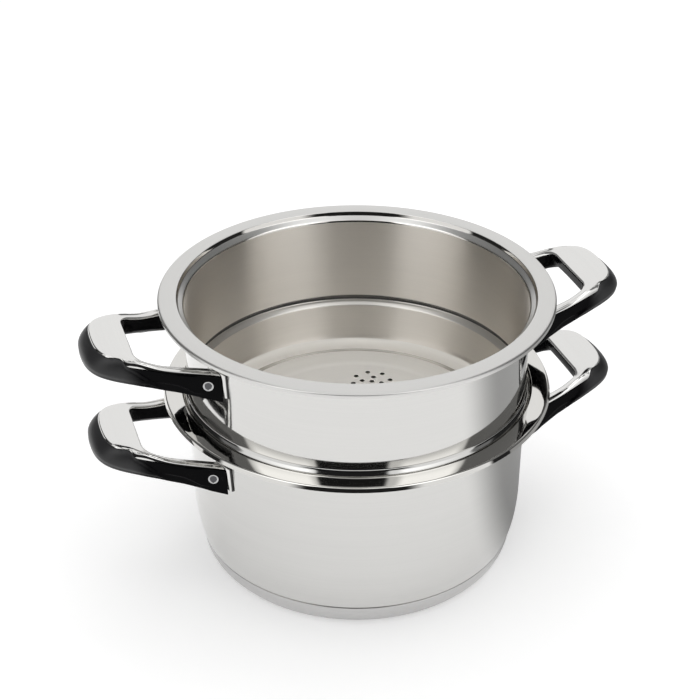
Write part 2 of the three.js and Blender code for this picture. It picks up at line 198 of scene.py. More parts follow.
class Nodes:
    """A node tree in the making, with the nodes that groups, materials and the world share."""

    def __init__(self, tree: bpy.types.NodeTree) -> None:
        """Keeps the tree that nodes are added to."""
        self.tree = tree

    def math(self, operation: str, *terms: Socket | float) -> Socket:
        """Adds a math node.

        Args:
            operation: The math node's operation.
            *terms: Sockets to link or numbers to set.

        Returns:
            The node's output.
        """
        node = self.tree.nodes.new("ShaderNodeMath")
        node.operation = operation
        for socket, term in zip(node.inputs, terms):
            if isinstance(term, (int, float)):
                socket.default_value = term
            else:
                self.tree.links.new(term, socket)
        return node.outputs[0]

    def split(self, vector: Socket) -> tuple[Socket, Socket, Socket]:
        """Splits a vector.

        Args:
            vector: The vector.

        Returns:
            Its three coordinates.
        """
        node = self.tree.nodes.new("ShaderNodeSeparateXYZ")
        self.tree.links.new(vector, node.inputs[0])
        return node.outputs[0], node.outputs[1], node.outputs[2]

    def along(self, x: Socket, y: Socket, way: Vector) -> Socket:
        """Returns how far a place lies along a level direction."""
        return self.math("ADD", self.math("MULTIPLY", x, way.x), self.math("MULTIPLY", y, way.y))

    def distance(self, x: Socket, y: Socket) -> Socket:
        """Returns how far a place lies from the vessels' axis."""
        return self.math("SQRT", self.math("ADD", self.math("MULTIPLY", x, x), self.math("MULTIPLY", y, y)))

    def spread(self, source: Socket, low: float, high: float) -> Socket:
        """Spreads a factor of 0 to 1 between two values.

        Args:
            source: The factor.
            low: The value at 0.
            high: The value at 1.

        Returns:
            The spread value.
        """
        node = self.tree.nodes.new("ShaderNodeMapRange")
        node.inputs["To Min"].default_value = low
        node.inputs["To Max"].default_value = high
        self.tree.links.new(source, node.inputs["Value"])
        return node.outputs[0]

    def eased(self, source: Socket, start: float, end: float) -> Socket:
        """Eases from 0 to 1 as a value goes from a start to an end.

        Args:
            source: The value.
            start: Where the ease starts.
            end: Where the ease ends.

        Returns:
            The share from 0 to 1.
        """
        node = self.tree.nodes.new("ShaderNodeMapRange")
        node.interpolation_type = "SMOOTHSTEP"
        node.inputs["From Min"].default_value = start
        node.inputs["From Max"].default_value = end
        self.tree.links.new(source, node.inputs["Value"])
        return node.outputs[0]


class NodeGroup(Nodes):
    """A shader node group with named inputs and one value as its output."""

    def __init__(self, name: str, inputs: dict[str, float], output: str) -> None:
        """Makes the group's sockets.

        Args:
            name: The group's name.
            inputs: Its value inputs with their defaults, besides the place on the piece.
            output: The name of its output.
        """
        super().__init__(bpy.data.node_groups.new(name, "ShaderNodeTree"))
        face = self.tree.interface
        face.new_socket("Place", in_out="INPUT", socket_type="NodeSocketVector")
        for label, default in inputs.items():
            socket = face.new_socket(label, in_out="INPUT", socket_type="NodeSocketFloat")
            socket.default_value = default
        face.new_socket(output, in_out="OUTPUT", socket_type="NodeSocketFloat")
        self.source = self.tree.nodes.new("NodeGroupInput").outputs
        self.sink = self.tree.nodes.new("NodeGroupOutput").inputs

    def noise(self, place: Socket, detail: float, rough: float) -> Socket:
        """Adds a noise texture.

        Args:
            place: Where it is read.
            detail: Its octaves.
            rough: Its roughness.

        Returns:
            Its factor output.
        """
        node = self.tree.nodes.new("ShaderNodeTexNoise")
        node.inputs["Scale"].default_value = 1.0
        node.inputs["Detail"].default_value = detail
        node.inputs["Roughness"].default_value = rough
        self.tree.links.new(place, node.inputs["Vector"])
        return node.outputs["Fac"]

    def joined(self, *parts: Socket) -> Socket:
        """Joins three values to a vector.

        Args:
            *parts: The values.

        Returns:
            The vector.
        """
        node = self.tree.nodes.new("ShaderNodeCombineXYZ")
        for socket, part in zip(node.inputs, parts):
            self.tree.links.new(part, socket)
        return node.outputs[0]

    def place_times(self, factor: Socket) -> Socket:
        """Multiplies the place on the piece.

        Args:
            factor: The factor.

        Returns:
            The place times the factor.
        """
        node = self.tree.nodes.new("ShaderNodeVectorMath")
        node.operation = "SCALE"
        self.tree.links.new(self.source["Place"], node.inputs[0])
        self.tree.links.new(factor, node.inputs["Scale"])
        return node.outputs[0]

    def close(self, result: Socket) -> Group:
        """Links the result to the output and returns the group."""
        self.tree.links.new(result, self.sink[0])
        return self.tree


# Brushing lines count up along a wall's rise as well as across a floor, so that both show rings.
RISE_PITCH = 1.31
# Coarser lines lie between the fine ones, and each kind has its share of the whole.
COARSE_PITCH = 0.13
FINE_SHARE = 0.65
COARSE_SHARE = 0.35


def brushed_rings() -> Group:
    """Builds the fine circular brushing that a turned vessel has, on walls and floors alike.

    Returns:
        The group.
    """
    group = NodeGroup("Brushed rings", {"Fineness": 1500.0, "Drift": 7.0}, "Streak")
    x, y, z = group.split(group.source["Place"])
    across = group.math("ADD", group.distance(x, y), group.math("MULTIPLY", z, RISE_PITCH))
    lines = group.math("MULTIPLY", across, group.source["Fineness"])
    drift = [group.math("MULTIPLY", part, group.source["Drift"]) for part in (x, y)]
    fine = group.noise(group.joined(lines, *drift), 3.0, 0.6)
    coarse = group.noise(group.joined(group.math("MULTIPLY", lines, COARSE_PITCH), *drift), 2.0, 0.5)
    both = group.math(
        "ADD", group.math("MULTIPLY", fine, FINE_SHARE), group.math("MULTIPLY", coarse, COARSE_SHARE))
    return group.close(both)


def handling_marks() -> Group:
    """Builds soft cloudy marks, as wiping and handling leave them on polished steel and plastic.

    Returns:
        The group.
    """
    group = NodeGroup("Handling marks", {"Size": 30.0, "Contrast": 1.0}, "Marks")
    cloud = group.noise(group.place_times(group.source["Size"]), 4.0, 0.55)
    return group.close(group.math("MULTIPLY", group.math("SUBTRACT", cloud, 0.5), group.source["Contrast"]))


def moulded_grain() -> Group:
    """Builds the fine even grain of moulded plastic."""
    group = NodeGroup("Moulded grain", {"Fineness": 2600.0}, "Grain")
    return group.close(group.noise(group.place_times(group.source["Fineness"]), 2.0, 0.5))


# Finishes


class Shader(Nodes):
    """A material in the making: its Principled shader, and nodes that feed it."""

    def __init__(self, name: str) -> None:
        """Starts a material with a Principled shader.

        Args:
            name: The material's name.
        """
        self.material = bpy.data.materials.new(name)
        self.material.use_nodes = True
        super().__init__(self.material.node_tree)
        self.bsdf = self.tree.nodes["Principled BSDF"]
        self.place = self.tree.nodes.new("ShaderNodeTexCoord").outputs["Object"]

    def group(self, tree: Group, **values: float) -> Socket:
        """Places a node group.

        Args:
            tree: The group.
            **values: Its inputs' values.

        Returns:
            The group's output.
        """
        node = self.tree.nodes.new("ShaderNodeGroup")
        node.node_tree = tree
        self.tree.links.new(self.place, node.inputs["Place"])
        for label, value in values.items():
            node.inputs[label].default_value = value
        return node.outputs[0]

    def tinted(self, source: Socket, dark: Sequence[float], light: Sequence[float]) -> None:
        """Colours the surface between two colours.

        Args:
            source: The factor between them.
            dark: The colour at 0.
            light: The colour at 1.
        """
        node = self.tree.nodes.new("ShaderNodeMix")
        node.data_type = "RGBA"
        for place, colour in zip(MIX_COLOURS, (dark, light)):
            node.inputs[place].default_value = (*colour, 1.0)
        self.tree.links.new(source, node.inputs[0])
        self.tree.links.new(node.outputs[MIXED_COLOUR], self.bsdf.inputs["Base Color"])

    def paint_gap_shade(self, radius: float, blur: float = 0.2, tone: float = 0.06) -> None:
        """Paints shade into the surface's colour within a radius of the vessels' axis: a painted shadow gap
        where a plate meets the wall.

        Args:
            radius: The radius, in millimetres.
            blur: Half the width of the dark zone's edge, in millimetres.
            tone: The share of the colour that is left there.
        """
        x, y, _ = self.split(self.place)
        share = self.tree.nodes.new("ShaderNodeMapRange")
        share.inputs["From Min"].default_value = (radius - blur) * MM
        share.inputs["From Max"].default_value = (radius + blur) * MM
        share.inputs["To Min"].default_value = tone
        self.tree.links.new(self.distance(x, y), share.inputs["Value"])
        node = self.tree.nodes.new("ShaderNodeMix")
        node.data_type = "RGBA"
        node.blend_type = "MULTIPLY"
        node.inputs[0].default_value = 1.0
        colour = self.bsdf.inputs["Base Color"]
        for place, source in zip(MIX_COLOURS, (colour.links[0].from_socket, share.outputs[0])):
            self.tree.links.new(source, node.inputs[place])
        self.tree.links.new(node.outputs[MIXED_COLOUR], colour)

    def bumped(self, height: Socket, strength: float, depth: float) -> None:
        """Roughens the surface by a height.

        Args:
            height: The height, from 0 to 1.
            strength: The share of it that shows.
            depth: The depth that it stands for, in metres.
        """
        node = self.tree.nodes.new("ShaderNodeBump")
        node.inputs["Strength"].default_value = strength
        node.inputs["Distance"].default_value = depth
        self.tree.links.new(height, node.inputs["Height"])
        self.tree.links.new(node.outputs["Normal"], self.bsdf.inputs["Normal"])

    def feed(self, socket: str, source: Socket) -> None:
        """Links a value to one of the shader's sockets."""
        self.tree.links.new(source, self.bsdf.inputs[socket])


@dataclass(frozen=True)
class SteelFinish:
    """A finish of steel or aluminium sheet."""

    name: str
    colour: tuple[float, float, float]
    roughness: float
    anisotropy: float = 0.0
    streak: float = 0.0
    fineness: float = 1500.0
    depth: float = 0.0
    shade: float = 0.04
    marks: float = 0.05
    mark_size: float = 30.0
    # Radius within which shade is painted into the colour, for a shadow gap at the wall.
    gap_shade_within: float = 0.0
    smoothest: float = 0.02
    relief: float = 0.35
    brush_turn: float = 0.25

    def material(self, rings: Group, marks: Group) -> bpy.types.Material:
        """Builds the material.

        Args:
            rings: The group for circular brushing.
            marks: The group for handling marks.

        Returns:
            The material.
        """
        made = Shader(self.name)
        streak = made.group(rings, Fineness=self.fineness)
        cloud = made.group(marks, Size=self.mark_size, Contrast=self.marks)
        brushed = made.spread(streak, self.roughness - self.streak, self.roughness + self.streak)
        made.feed("Roughness", made.math("MAXIMUM", made.math("ADD", brushed, cloud), self.smoothest))
        dark = tuple(part * (1.0 - self.shade) for part in self.colour)
        light = tuple(min(part * (1.0 + self.shade), 1.0) for part in self.colour)
        made.tinted(streak, dark, light)
        # Painted shade: the colour goes dark near the wall, standing for the shadow gap there.
        if self.gap_shade_within > 0.0:
            made.paint_gap_shade(self.gap_shade_within)
        made.bsdf.inputs["Metallic"].default_value = 1.0
        if self.anisotropy > 0.0:
            made.bsdf.inputs["Anisotropic"].default_value = self.anisotropy
            made.bsdf.inputs["Anisotropic Rotation"].default_value = self.brush_turn
            tangent = made.tree.nodes.new("ShaderNodeTangent")
            tangent.direction_type = "RADIAL"
            tangent.axis = "Z"
            made.feed("Tangent", tangent.outputs[0])
        if self.depth > 0.0:
            made.bumped(streak, self.relief, self.depth * MM)
        return made.material


@dataclass(frozen=True)
class PlasticFinish:
    """The finish of the black grips: glossy arms and a satin nose."""

    name: str = "Black grip"
    dark: tuple[float, float, float] = (0.0025, 0.0025, 0.003)
    light: tuple[float, float, float] = (0.009, 0.009, 0.010)
    arm_roughness: float = 0.14
    nose_roughness: float = 0.44
    arm_gloss: float = 0.04
    nose_from: float = 154.0
    nose_to: float = 168.0
    tint_floor: float = 0.6
    mark_size: float = 55.0
    marks: float = 0.12
    relief: float = 0.12
    depth: float = 0.04

    def material(self, grain: Group, marks: Group) -> bpy.types.Material:
        """Builds the material.

        Args:
            grain: The group for moulded grain.
            marks: The group for handling marks.

        Returns:
            The material.
        """
        made = Shader(self.name)
        fine = made.group(grain)
        cloud = made.group(marks, Size=self.mark_size, Contrast=self.marks)
        reach = made.math("ABSOLUTE", made.split(made.place)[0])
        nose = made.eased(reach, self.nose_from * MM, self.nose_to * MM)
        rough = made.spread(nose, self.arm_roughness, self.nose_roughness)
        made.feed("Roughness", made.math("ADD", rough, cloud))
        made.feed("Coat Weight", nose)
        made.bsdf.inputs["Coat Roughness"].default_value = self.nose_roughness
        made.bsdf.inputs["Specular IOR Level"].default_value = self.arm_gloss
        tint = made.math("MULTIPLY", nose, made.math("ADD", fine, self.tint_floor))
        made.tinted(tint, self.dark, self.light)
        made.bumped(fine, self.relief, self.depth * MM)
        return made.material


OUTSIDE = SteelFinish("Polished wall", (0.645, 0.64, 0.625), 0.07, streak=0.02, fineness=700.0, marks=0.05)
POT_RIM = SteelFinish("Mirror rim", (0.70, 0.69, 0.665), 0.035, streak=0.01, marks=0.02)
INSERT_RIM = SteelFinish("Satin rim", (0.65, 0.645, 0.63), 0.3, streak=0.05, marks=0.06)
INSIDE = SteelFinish(
    "Brushed inside", (0.84, 0.80, 0.74), 0.44, anisotropy=1.0, streak=0.05, depth=0.004, shade=0.05,
    marks=0.02,
)
FLOOR = SteelFinish(
    "Brushed floor", (0.95, 0.94, 0.915), 0.82, streak=0.05, depth=0.004, shade=0.04, marks=0.03
)
SEAT = SteelFinish("Polished seat", (0.70, 0.685, 0.655), 0.05, streak=0.02, marks=0.02)
GROOVE = SteelFinish("Satin groove", (0.6, 0.585, 0.555), 0.3, streak=0.05, marks=0.03)
# Painted shade: a dark steel put where shade falls, in hollows, holes and the groove over the base.
PAINTED_SHADE = SteelFinish("Painted shade steel", (0.10, 0.10, 0.10), 0.5, streak=0.05, marks=0.05)
BASE = SteelFinish("Satin base", (0.58, 0.575, 0.57), 0.34, streak=0.07, depth=0.008, shade=0.06, marks=0.06)
COVER = SteelFinish("Polished cover", (0.74, 0.735, 0.72), 0.08, streak=0.02, fineness=500.0, marks=0.05)
# The bracket's edge at the wall gets painted shade for the shadow gap between plate and wall.
BRACKET = SteelFinish("Bracket steel", (0.70, 0.695, 0.68), 0.12, streak=0.03, marks=0.05, gap_shade_within=118.1)
DISH = SteelFinish("Darkened steel", (0.09, 0.09, 0.095), 0.3, streak=0.05, marks=0.05)
FASTENER = SteelFinish("Fastener steel", (0.5, 0.5, 0.5), 0.22, streak=0.05, marks=0.05)
ALUMINIUM = SteelFinish("Cast aluminium", (0.72, 0.73, 0.74), 0.45, streak=0.1, shade=0.08, marks=0.08)
STEELS = (
    OUTSIDE, POT_RIM, INSERT_RIM, INSIDE, FLOOR, SEAT, PAINTED_SHADE, GROOVE, BASE, COVER, BRACKET, DISH, FASTENER,
    ALUMINIUM,
)
GRIP = PlasticFinish()


# Vessels


@dataclass
class Outline:
    """A turned profile in radius and height, in millimetres."""

    points: list[tuple[float, float]] = field(default_factory=list)

    def line(self, radius: float, height: float, steps: int = 1) -> "Outline":
        """Goes straight to a point.

        Args:
            radius: The point's radius.
            height: The point's height.
            steps: The number of steps there.

        Returns:
            The outline.
        """
        start = self.points[-1] if self.points else (radius, height)
        for step in range(1, steps + 1):
            share = step / steps
            self.points.append((mix(start[0], radius, share), mix(start[1], height, share)))
        return self

    def bend(self, corner: tuple[float, float], end: tuple[float, float], steps: int = 6) -> "Outline":
        """Curves towards a corner and on to an end.

        Args:
            corner: The point the curve pulls towards.
            end: Where the curve ends.
            steps: The number of straight steps it is made of.

        Returns:
            The outline.
        """
        start = self.points[-1]
        for step in range(1, steps + 1):
            t = step / steps
            a, b, c = (1 - t) ** 2, 2 * t * (1 - t), t * t
            self.points.append((
                a * start[0] + b * corner[0] + c * end[0],
                a * start[1] + b * corner[1] + c * end[1],
            ))
        return self

    def fillet(self, corner: tuple[float, float], towards: tuple[float, float], radius: float) -> "Outline":
        """Rounds a corner on the way from the last point towards another.

        Args:
            corner: The corner.
            towards: The point that the outline goes to after it.
            radius: How far from the corner the rounding starts and ends.

        Returns:
            The outline.
        """
        at, before, after = Vector(corner), Vector(self.points[-1]), Vector(towards)
        start = at + (before - at).normalized() * radius
        end = at + (after - at).normalized() * radius
        self.line(start.x, start.y)
        return self.bend(corner, (end.x, end.y), steps=4)

    def turns(self, corners: Sequence[tuple[float, float]], rounds: Sequence[float]) -> "Outline":
        """Rounds a row of corners.

        Args:
            corners: The corners, and after them the point that the outline goes to next.
            rounds: How far from each corner its rounding starts and ends.

        Returns:
            The outline.
        """
        for corner, towards, radius in zip(corners, corners[1:], rounds):
            self.fillet(corner, towards, radius)
        return self


def spun(name: str, outline: Outline, steps: int = 256) -> bmesh.types.BMesh:
    """Turns a profile about the vessels' axis.

    Args:
        name: The piece's name, for the log.
        outline: The profile, from the axis round to the axis.
        steps: The number of steps round.

    Returns:
        A closed bmesh.
    """
    bm = bmesh.new()
    row = [bm.verts.new((radius * MM, 0.0, height * MM)) for radius, height in outline.points]
    edges = [bm.edges.new(pair) for pair in zip(row, row[1:])]
    bmesh.ops.spin(
        bm, geom=[*row, *edges], cent=(0, 0, 0), axis=(0, 0, 1), angle=2 * math.pi, steps=steps,
        use_merge=True)
    bmesh.ops.remove_doubles(bm, verts=bm.verts, dist=DOUBLE)
    bmesh.ops.dissolve_degenerate(bm, edges=bm.edges, dist=WELD)
    bmesh.ops.recalc_face_normals(bm, faces=bm.faces)
    LOG.info("%s: %d steps round", name, steps)
    return bm


@dataclass
class Rim:
    """The flared rim that both vessels share, in millimetres."""

    wall: float = 117.0
    sheet: float = 0.9
    outer: float = 133.5
    seat: float = 120.5
    seat_depth: float = 2.8
    seat_lean: float = 0.45
    ledge_drop: float = 2.8
    flange: float = 1.3
    fall: float = 0.7
    crown: float = 0.12
    lip_drop: float = 3.3
    lip_width: float = 2.4
    skirt_lean: float = 0.5
    skirt_sheet: float = 0.7
    lip_roll: float = 0.35
    brow_inset: float = 0.3
    brow_drop: float = 0.192
    under_rounds: tuple[float, ...] = (1.4, 0.7, 0.5, 0.5)
    seat_rounds: tuple[float, ...] = (0.4, 0.6, 1.6)

    @property
    def inside(self) -> float:
        """The wall's inner radius."""
        return self.wall - self.sheet

    def ledge(self, radius: float, top: float) -> float:
        """Returns the height of the seat's sloping ledge at a radius, below a rim at height top."""
        run = self.seat - self.inside
        return top - self.seat_depth - self.ledge_drop * (self.seat - radius) / run

    def carry(self, outline: Outline, top: float) -> Outline:
        """Carries a vessel's profile from its outer wall over the rim to its inner wall.

        Args:
            outline: The profile, last at the outer wall.
            top: The rim's height.

        Returns:
            The profile, last just under the seat.
        """
        sheet, foot = self.sheet, top - self.seat_depth - self.ledge_drop
        under, shoulder = top - self.flange, self.outer - self.lip_width
        lip = top - self.lip_drop
        underside = [
            (self.wall, foot - sheet), (self.seat + sheet, top - self.seat_depth - sheet),
            (self.seat + sheet, under), (shoulder, under - self.fall), (self.outer - self.skirt_sheet, lip),
        ]
        outline.turns(underside, self.under_rounds)
        outline.line(*underside[-1])
        outline.bend((self.outer, lip), (self.outer, lip + self.lip_roll), steps=4)
        outline.line(self.outer - self.skirt_lean, top - self.fall - self.lip_roll, steps=3)
        brow = (self.outer - self.skirt_lean - self.brow_inset, top - self.brow_drop)
        outline.bend(brow, (shoulder, top - self.crown), steps=8)
        outline.bend((shoulder - self.lip_width, top), ((self.outer + self.seat) / 2, top), steps=6)
        inside = [
            (self.seat + self.seat_lean, top), (self.seat - self.seat_lean, top - self.seat_depth),
            (self.inside, foot), (self.inside, 0.0),
        ]
        return outline.turns(inside, self.seat_rounds)


@dataclass
class Pot:
    """The pot: its shell, and the base under it."""

    rim: Rim
    height: float = 128.7
    corner_top: float = 52.0
    corner_bend: float = 30.0
    taper: float = 0.5
    groove_height: float = 15.8
    groove_radius: float = 111.9
    groove_gap: float = 0.5
    groove_width: float = 0.9
    groove_round: float = 0.7
    gap: float = 0.3
    floor_radius: float = 99.0
    cap_sheet: float = 0.8
    cap_flat: float = 104.4
    cap_heel: float = 106.6
    cap_heel_height: float = 1.6
    cap_bend: float = 6.0
    cap_toe: tuple[float, float] = (0.7, 0.1)
    cap_round: float = 0.3
    core: float = 4.7

    def shell(self) -> bpy.types.Object:
        """Builds the drawn vessel.

        Returns:
            The vessel, its faces numbered by their zones.
        """
        rim, sheet = self.rim, self.rim.sheet
        under = self.cap_sheet + self.gap + self.core + self.gap
        heel = self.groove_radius - self.groove_gap - self.cap_sheet - self.gap
        bend = rim.wall - self.taper
        groove = (self.groove_radius, self.groove_height)
        outline = Outline().line(0.0, under).line(self.floor_radius, under, steps=6)
        outline.bend((heel, under), (heel, self.groove_height), steps=8)
        outline.fillet(groove, (bend, self.corner_bend), self.groove_round)
        outline.bend((bend, self.corner_bend), (bend, self.corner_top), steps=16)
        rim.carry(outline, self.height)
        outline.line(bend - sheet, self.corner_top, steps=2)
        outline.bend((bend - sheet, self.corner_bend), (groove[0] - sheet, groove[1] + sheet), steps=16)
        outline.bend((heel - sheet, under + sheet), (self.floor_radius, under + sheet), steps=10)
        outline.line(0.0, under + sheet, steps=6)
        bm = spun("pot shell", outline)
        paint(bm, self.height, rim)
        return finish_mesh("pot_vessel", bm, sharp=30.0)

    def cap(self) -> bpy.types.Object:
        """Builds the steel cap of the base.

        Returns:
            The cap.
        """
        sheet = self.cap_sheet
        edge, top = self.groove_radius - self.groove_gap, self.groove_height - self.groove_width
        toe_in, toe_up = self.cap_toe
        outline = Outline().line(0.0, 0.0).line(self.cap_flat, 0.0, steps=4)
        outline.bend((self.cap_heel - toe_in, toe_up), (self.cap_heel, self.cap_heel_height), steps=5)
        outline.bend((edge, self.cap_bend), (edge, top - self.cap_round), steps=10)
        outline.bend((edge, top), (edge - self.cap_round, top), steps=3)
        outline.line(edge - sheet, top)
        heel = (self.cap_heel - sheet, self.cap_heel_height + sheet / 2)
        outline.bend((edge - sheet, self.cap_bend + sheet), heel, steps=10)
        outline.line(self.cap_flat - sheet / 2, sheet).line(0.0, sheet, steps=4)
        return finish_mesh("pot_base_cover", spun("base cap", outline), sharp=35.0)


@dataclass(frozen=True)
class ZoneLimits:
    """Where the zones of a vessel begin: limits on a face's slope, and distances in millimetres."""

    outward: float = 0.05
    overhang: float = -0.3
    level: float = 0.6
    upward: float = 0.3
    upright: float = 0.2
    seat_in: float = 0.1
    seat_out: float = 0.6
    seat_under: float = 0.8
    bead_above: float = 0.6
    bead_below: float = 8.0
    bead_hollow: float = 1.2
    bead_neck: float = 2.2
    rim_in: float = 0.2
    rim_under: float = 2.0
    groove_above: float = 0.2


def paint(bm: bmesh.types.BMesh, top: float, rim: Rim, bead: float = 0.0) -> None:
    """Numbers a vessel's faces by their zones.

    Args:
        bm: The vessel.
        top: The height of its rim.
        rim: The rim's sizes.
        bead: The height of the bead's crest, or 0 where there is none.
    """
    limits = ZoneLimits()
    foot = top - rim.seat_depth - rim.ledge_drop
    for face in bm.faces:
        middle, rise = face.calc_center_median() / MM, face.normal.z
        radius = math.hypot(middle.x, middle.y)
        outward = (face.normal.x * middle.x + face.normal.y * middle.y) / max(radius, WELD)
        inward = outward < limits.outward and rise > limits.overhang
        in_seat = rim.inside - limits.seat_in < radius < rim.seat + limits.seat_out
        if inward and in_seat and middle.z > foot - limits.seat_under:
            zone = Zone.RIM if rise > limits.level else Zone.SEAT
        elif inward and bead and bead - limits.bead_below < middle.z < bead + limits.bead_above:
            # The bead's hollow is painted dark for the shade inside it.
            hollow = radius > rim.inside + limits.bead_hollow and rise < limits.upright
            upward = radius > rim.inside - limits.bead_neck and rise > limits.upward
            zone = Zone.PAINTED_SHADE if hollow else Zone.GROOVE if upward else Zone.INSIDE
        elif bead and radius < Insert.disc and abs(rise) < limits.upward:
            # The steam holes' walls are painted dark for the shade of the closed pot below them.
            zone = Zone.PAINTED_SHADE
        elif radius > rim.seat + limits.rim_in and middle.z > top - rim.lip_drop - limits.rim_under:
            zone = Zone.RIM
        elif not inward:
            # Below the base's groove the outside is painted dark for the shade in the groove.
            zone = Zone.PAINTED_SHADE if middle.z < Pot.groove_height + limits.groove_above else Zone.OUTSIDE
        else:
            zone = Zone.FLOOR if rise > limits.level else Zone.INSIDE
        face.material_index = zone


@dataclass
class Insert:
    """The steamer insert: a shell that stands in the pot's seat, with holes in its floor."""

    rim: Rim
    pot_height: float = 128.7
    rise: float = 69.2
    depth: float = 36.3
    neck: float = 114.6
    bead: float = 119.4
    bead_top: float = 2.2
    bead_crest: float = -0.8
    corner: float = 7.5
    corner_reach: float = 9.0
    ring: float = 101.0
    slope: float = 3.0
    step: float = 0.8
    disc: float = 78.0
    floor_ease: float = 2.0
    ring_ease: float = 1.5
    gap: float = 0.3
    bead_rounds: tuple[float, ...] = (0.6, 0.5, 0.5, 0.9, 1.4)
    hollow_rounds: tuple[float, ...] = (1.3, 0.7, 0.4, 0.7, 0.8)
    hole: float = 1.75
    hole_sides: int = 20
    punch: float = 8.0
    petals: int = 6
    petal_rows: tuple[tuple[float, tuple[float, ...]], ...] = (
        (67.4, (4.7,)), (61.4, (0.0, 12.0)), (55.3, (0.0, 7.5)), (51.5, (14.5,)), (44.0, (0.0,)),
        (36.0, (11.0,)), (20.0, (0.0,)),
    )

    def blank(self) -> bmesh.types.BMesh:
        """Builds the shell before its holes are cut.

        Returns:
            A closed bmesh.
        """
        rim, sheet, base = self.rim, self.rim.sheet, self.pot_height
        floor = base - self.depth
        under, low = floor - sheet, floor - self.step
        neck_in = self.neck - sheet
        bearing = rim.inside + self.gap + sheet / 4
        shoulder = self.bead - sheet / 2
        bearing_at = rim.ledge(bearing, base) + self.gap
        shoulder_at = rim.ledge(shoulder, base) + self.gap
        disc_edge, ring_edge = self.disc + self.slope, self.ring - self.slope
        disc_middle, ring_middle = mix(self.disc, disc_edge, 0.5), mix(self.ring, ring_edge, 0.5)
        disc_start, disc_end = self.disc - self.floor_ease, disc_edge + self.floor_ease
        ring_start, ring_end = ring_edge - self.floor_ease, self.ring + self.ring_ease
        heel, half_step = self.neck - self.corner_reach, self.step / 2
        outline = Outline().line(0.0, under - self.step).line(disc_start, under - self.step, steps=8)
        outline.bend((self.disc, under - self.step), (disc_middle, under - half_step), steps=4)
        outline.bend((disc_edge, under), (disc_end, under), steps=4)
        outline.line(ring_start, under, steps=2)
        outline.bend((ring_edge, under), (ring_middle, under - half_step), steps=4)
        outline.bend((self.ring, under - self.step), (ring_end, under - self.step), steps=4)
        outline.line(heel, under - self.step)
        outline.bend((self.neck, under), (self.neck, under + self.corner), steps=8)
        crest, top = base + self.bead_crest, base + self.bead_top
        outline.turns(
            [
                (self.neck, bearing_at - 2 * sheet), (bearing, bearing_at), (shoulder, shoulder_at),
                (self.bead, crest), (rim.wall, top), (rim.wall, base + self.rise),
            ],
            self.bead_rounds)
        rim.carry(outline, base + self.rise)
        outline.turns(
            [
                (rim.inside, top - sheet / 2), (self.bead - sheet, crest),
                (shoulder - sheet, shoulder_at + sheet / 2), (bearing - sheet / 2, bearing_at + sheet),
                (neck_in, bearing_at - sheet), (neck_in, floor + self.corner),
            ],
            self.hollow_rounds)
        outline.line(neck_in, floor + self.corner, steps=3)
        outline.bend((neck_in, floor), (heel, low), steps=10)
        outline.line(ring_end, low)
        outline.bend((self.ring, low), (ring_middle, floor - half_step), steps=4)
        outline.bend((ring_edge, floor), (ring_start, floor), steps=4)
        outline.line(disc_end, floor, steps=2)
        outline.bend((disc_edge, floor), (disc_middle, floor - half_step), steps=4)
        outline.bend((self.disc, low), (disc_start, low), steps=4)
        outline.line(0.0, low, steps=8)
        return spun("insert shell", outline)

    def punches(self) -> bmesh.types.BMesh:
        """Builds the punches of the steam holes.

        Returns:
            The punches as one bmesh.
        """
        bm = bmesh.new()
        middle = (self.pot_height - self.depth - self.step) * MM
        spots = [(0.0, 0.0)]
        for petal in range(self.petals):
            for radius, halves in self.petal_rows:
                for half in halves:
                    for turn in {half, -half}:
                        spots.append((radius, math.radians(turn + 360.0 * petal / self.petals)))
        for radius, angle in spots:
            place = Matrix.Translation((radius * math.cos(angle) * MM, radius * math.sin(angle) * MM, middle))
            bmesh.ops.create_cone(
                bm, cap_ends=True, segments=self.hole_sides, radius1=self.hole * MM, radius2=self.hole * MM,
                depth=self.punch * MM, matrix=place)
        return bm

    def shell(self) -> bpy.types.Object:
        """Builds the shell with its steam holes.

        Returns:
            The vessel, its faces numbered by their zones.
        """
        sharp = 30.0
        made = finish_mesh("insert_vessel", self.blank(), sharp)
        punch = finish_mesh("steam_hole_punches", self.punches(), sharp)
        cut = made.modifiers.new("Steam holes", "BOOLEAN")
        cut.operation = "DIFFERENCE"
        cut.object = punch
        cut.solver = "EXACT"
        made.data = bpy.data.meshes.new_from_object(made.evaluated_get(bpy.context.evaluated_depsgraph_get()))
        made.modifiers.clear()
        bpy.data.objects.remove(punch)
        bm = bmesh.new()
        bm.from_mesh(made.data)
        paint(bm, self.pot_height + self.rise, self.rim, self.pot_height + self.bead_crest)
        bm.to_mesh(made.data)
        bm.free()
        made.data.set_sharp_from_angle(angle=math.radians(sharp))
        return made


# Handles


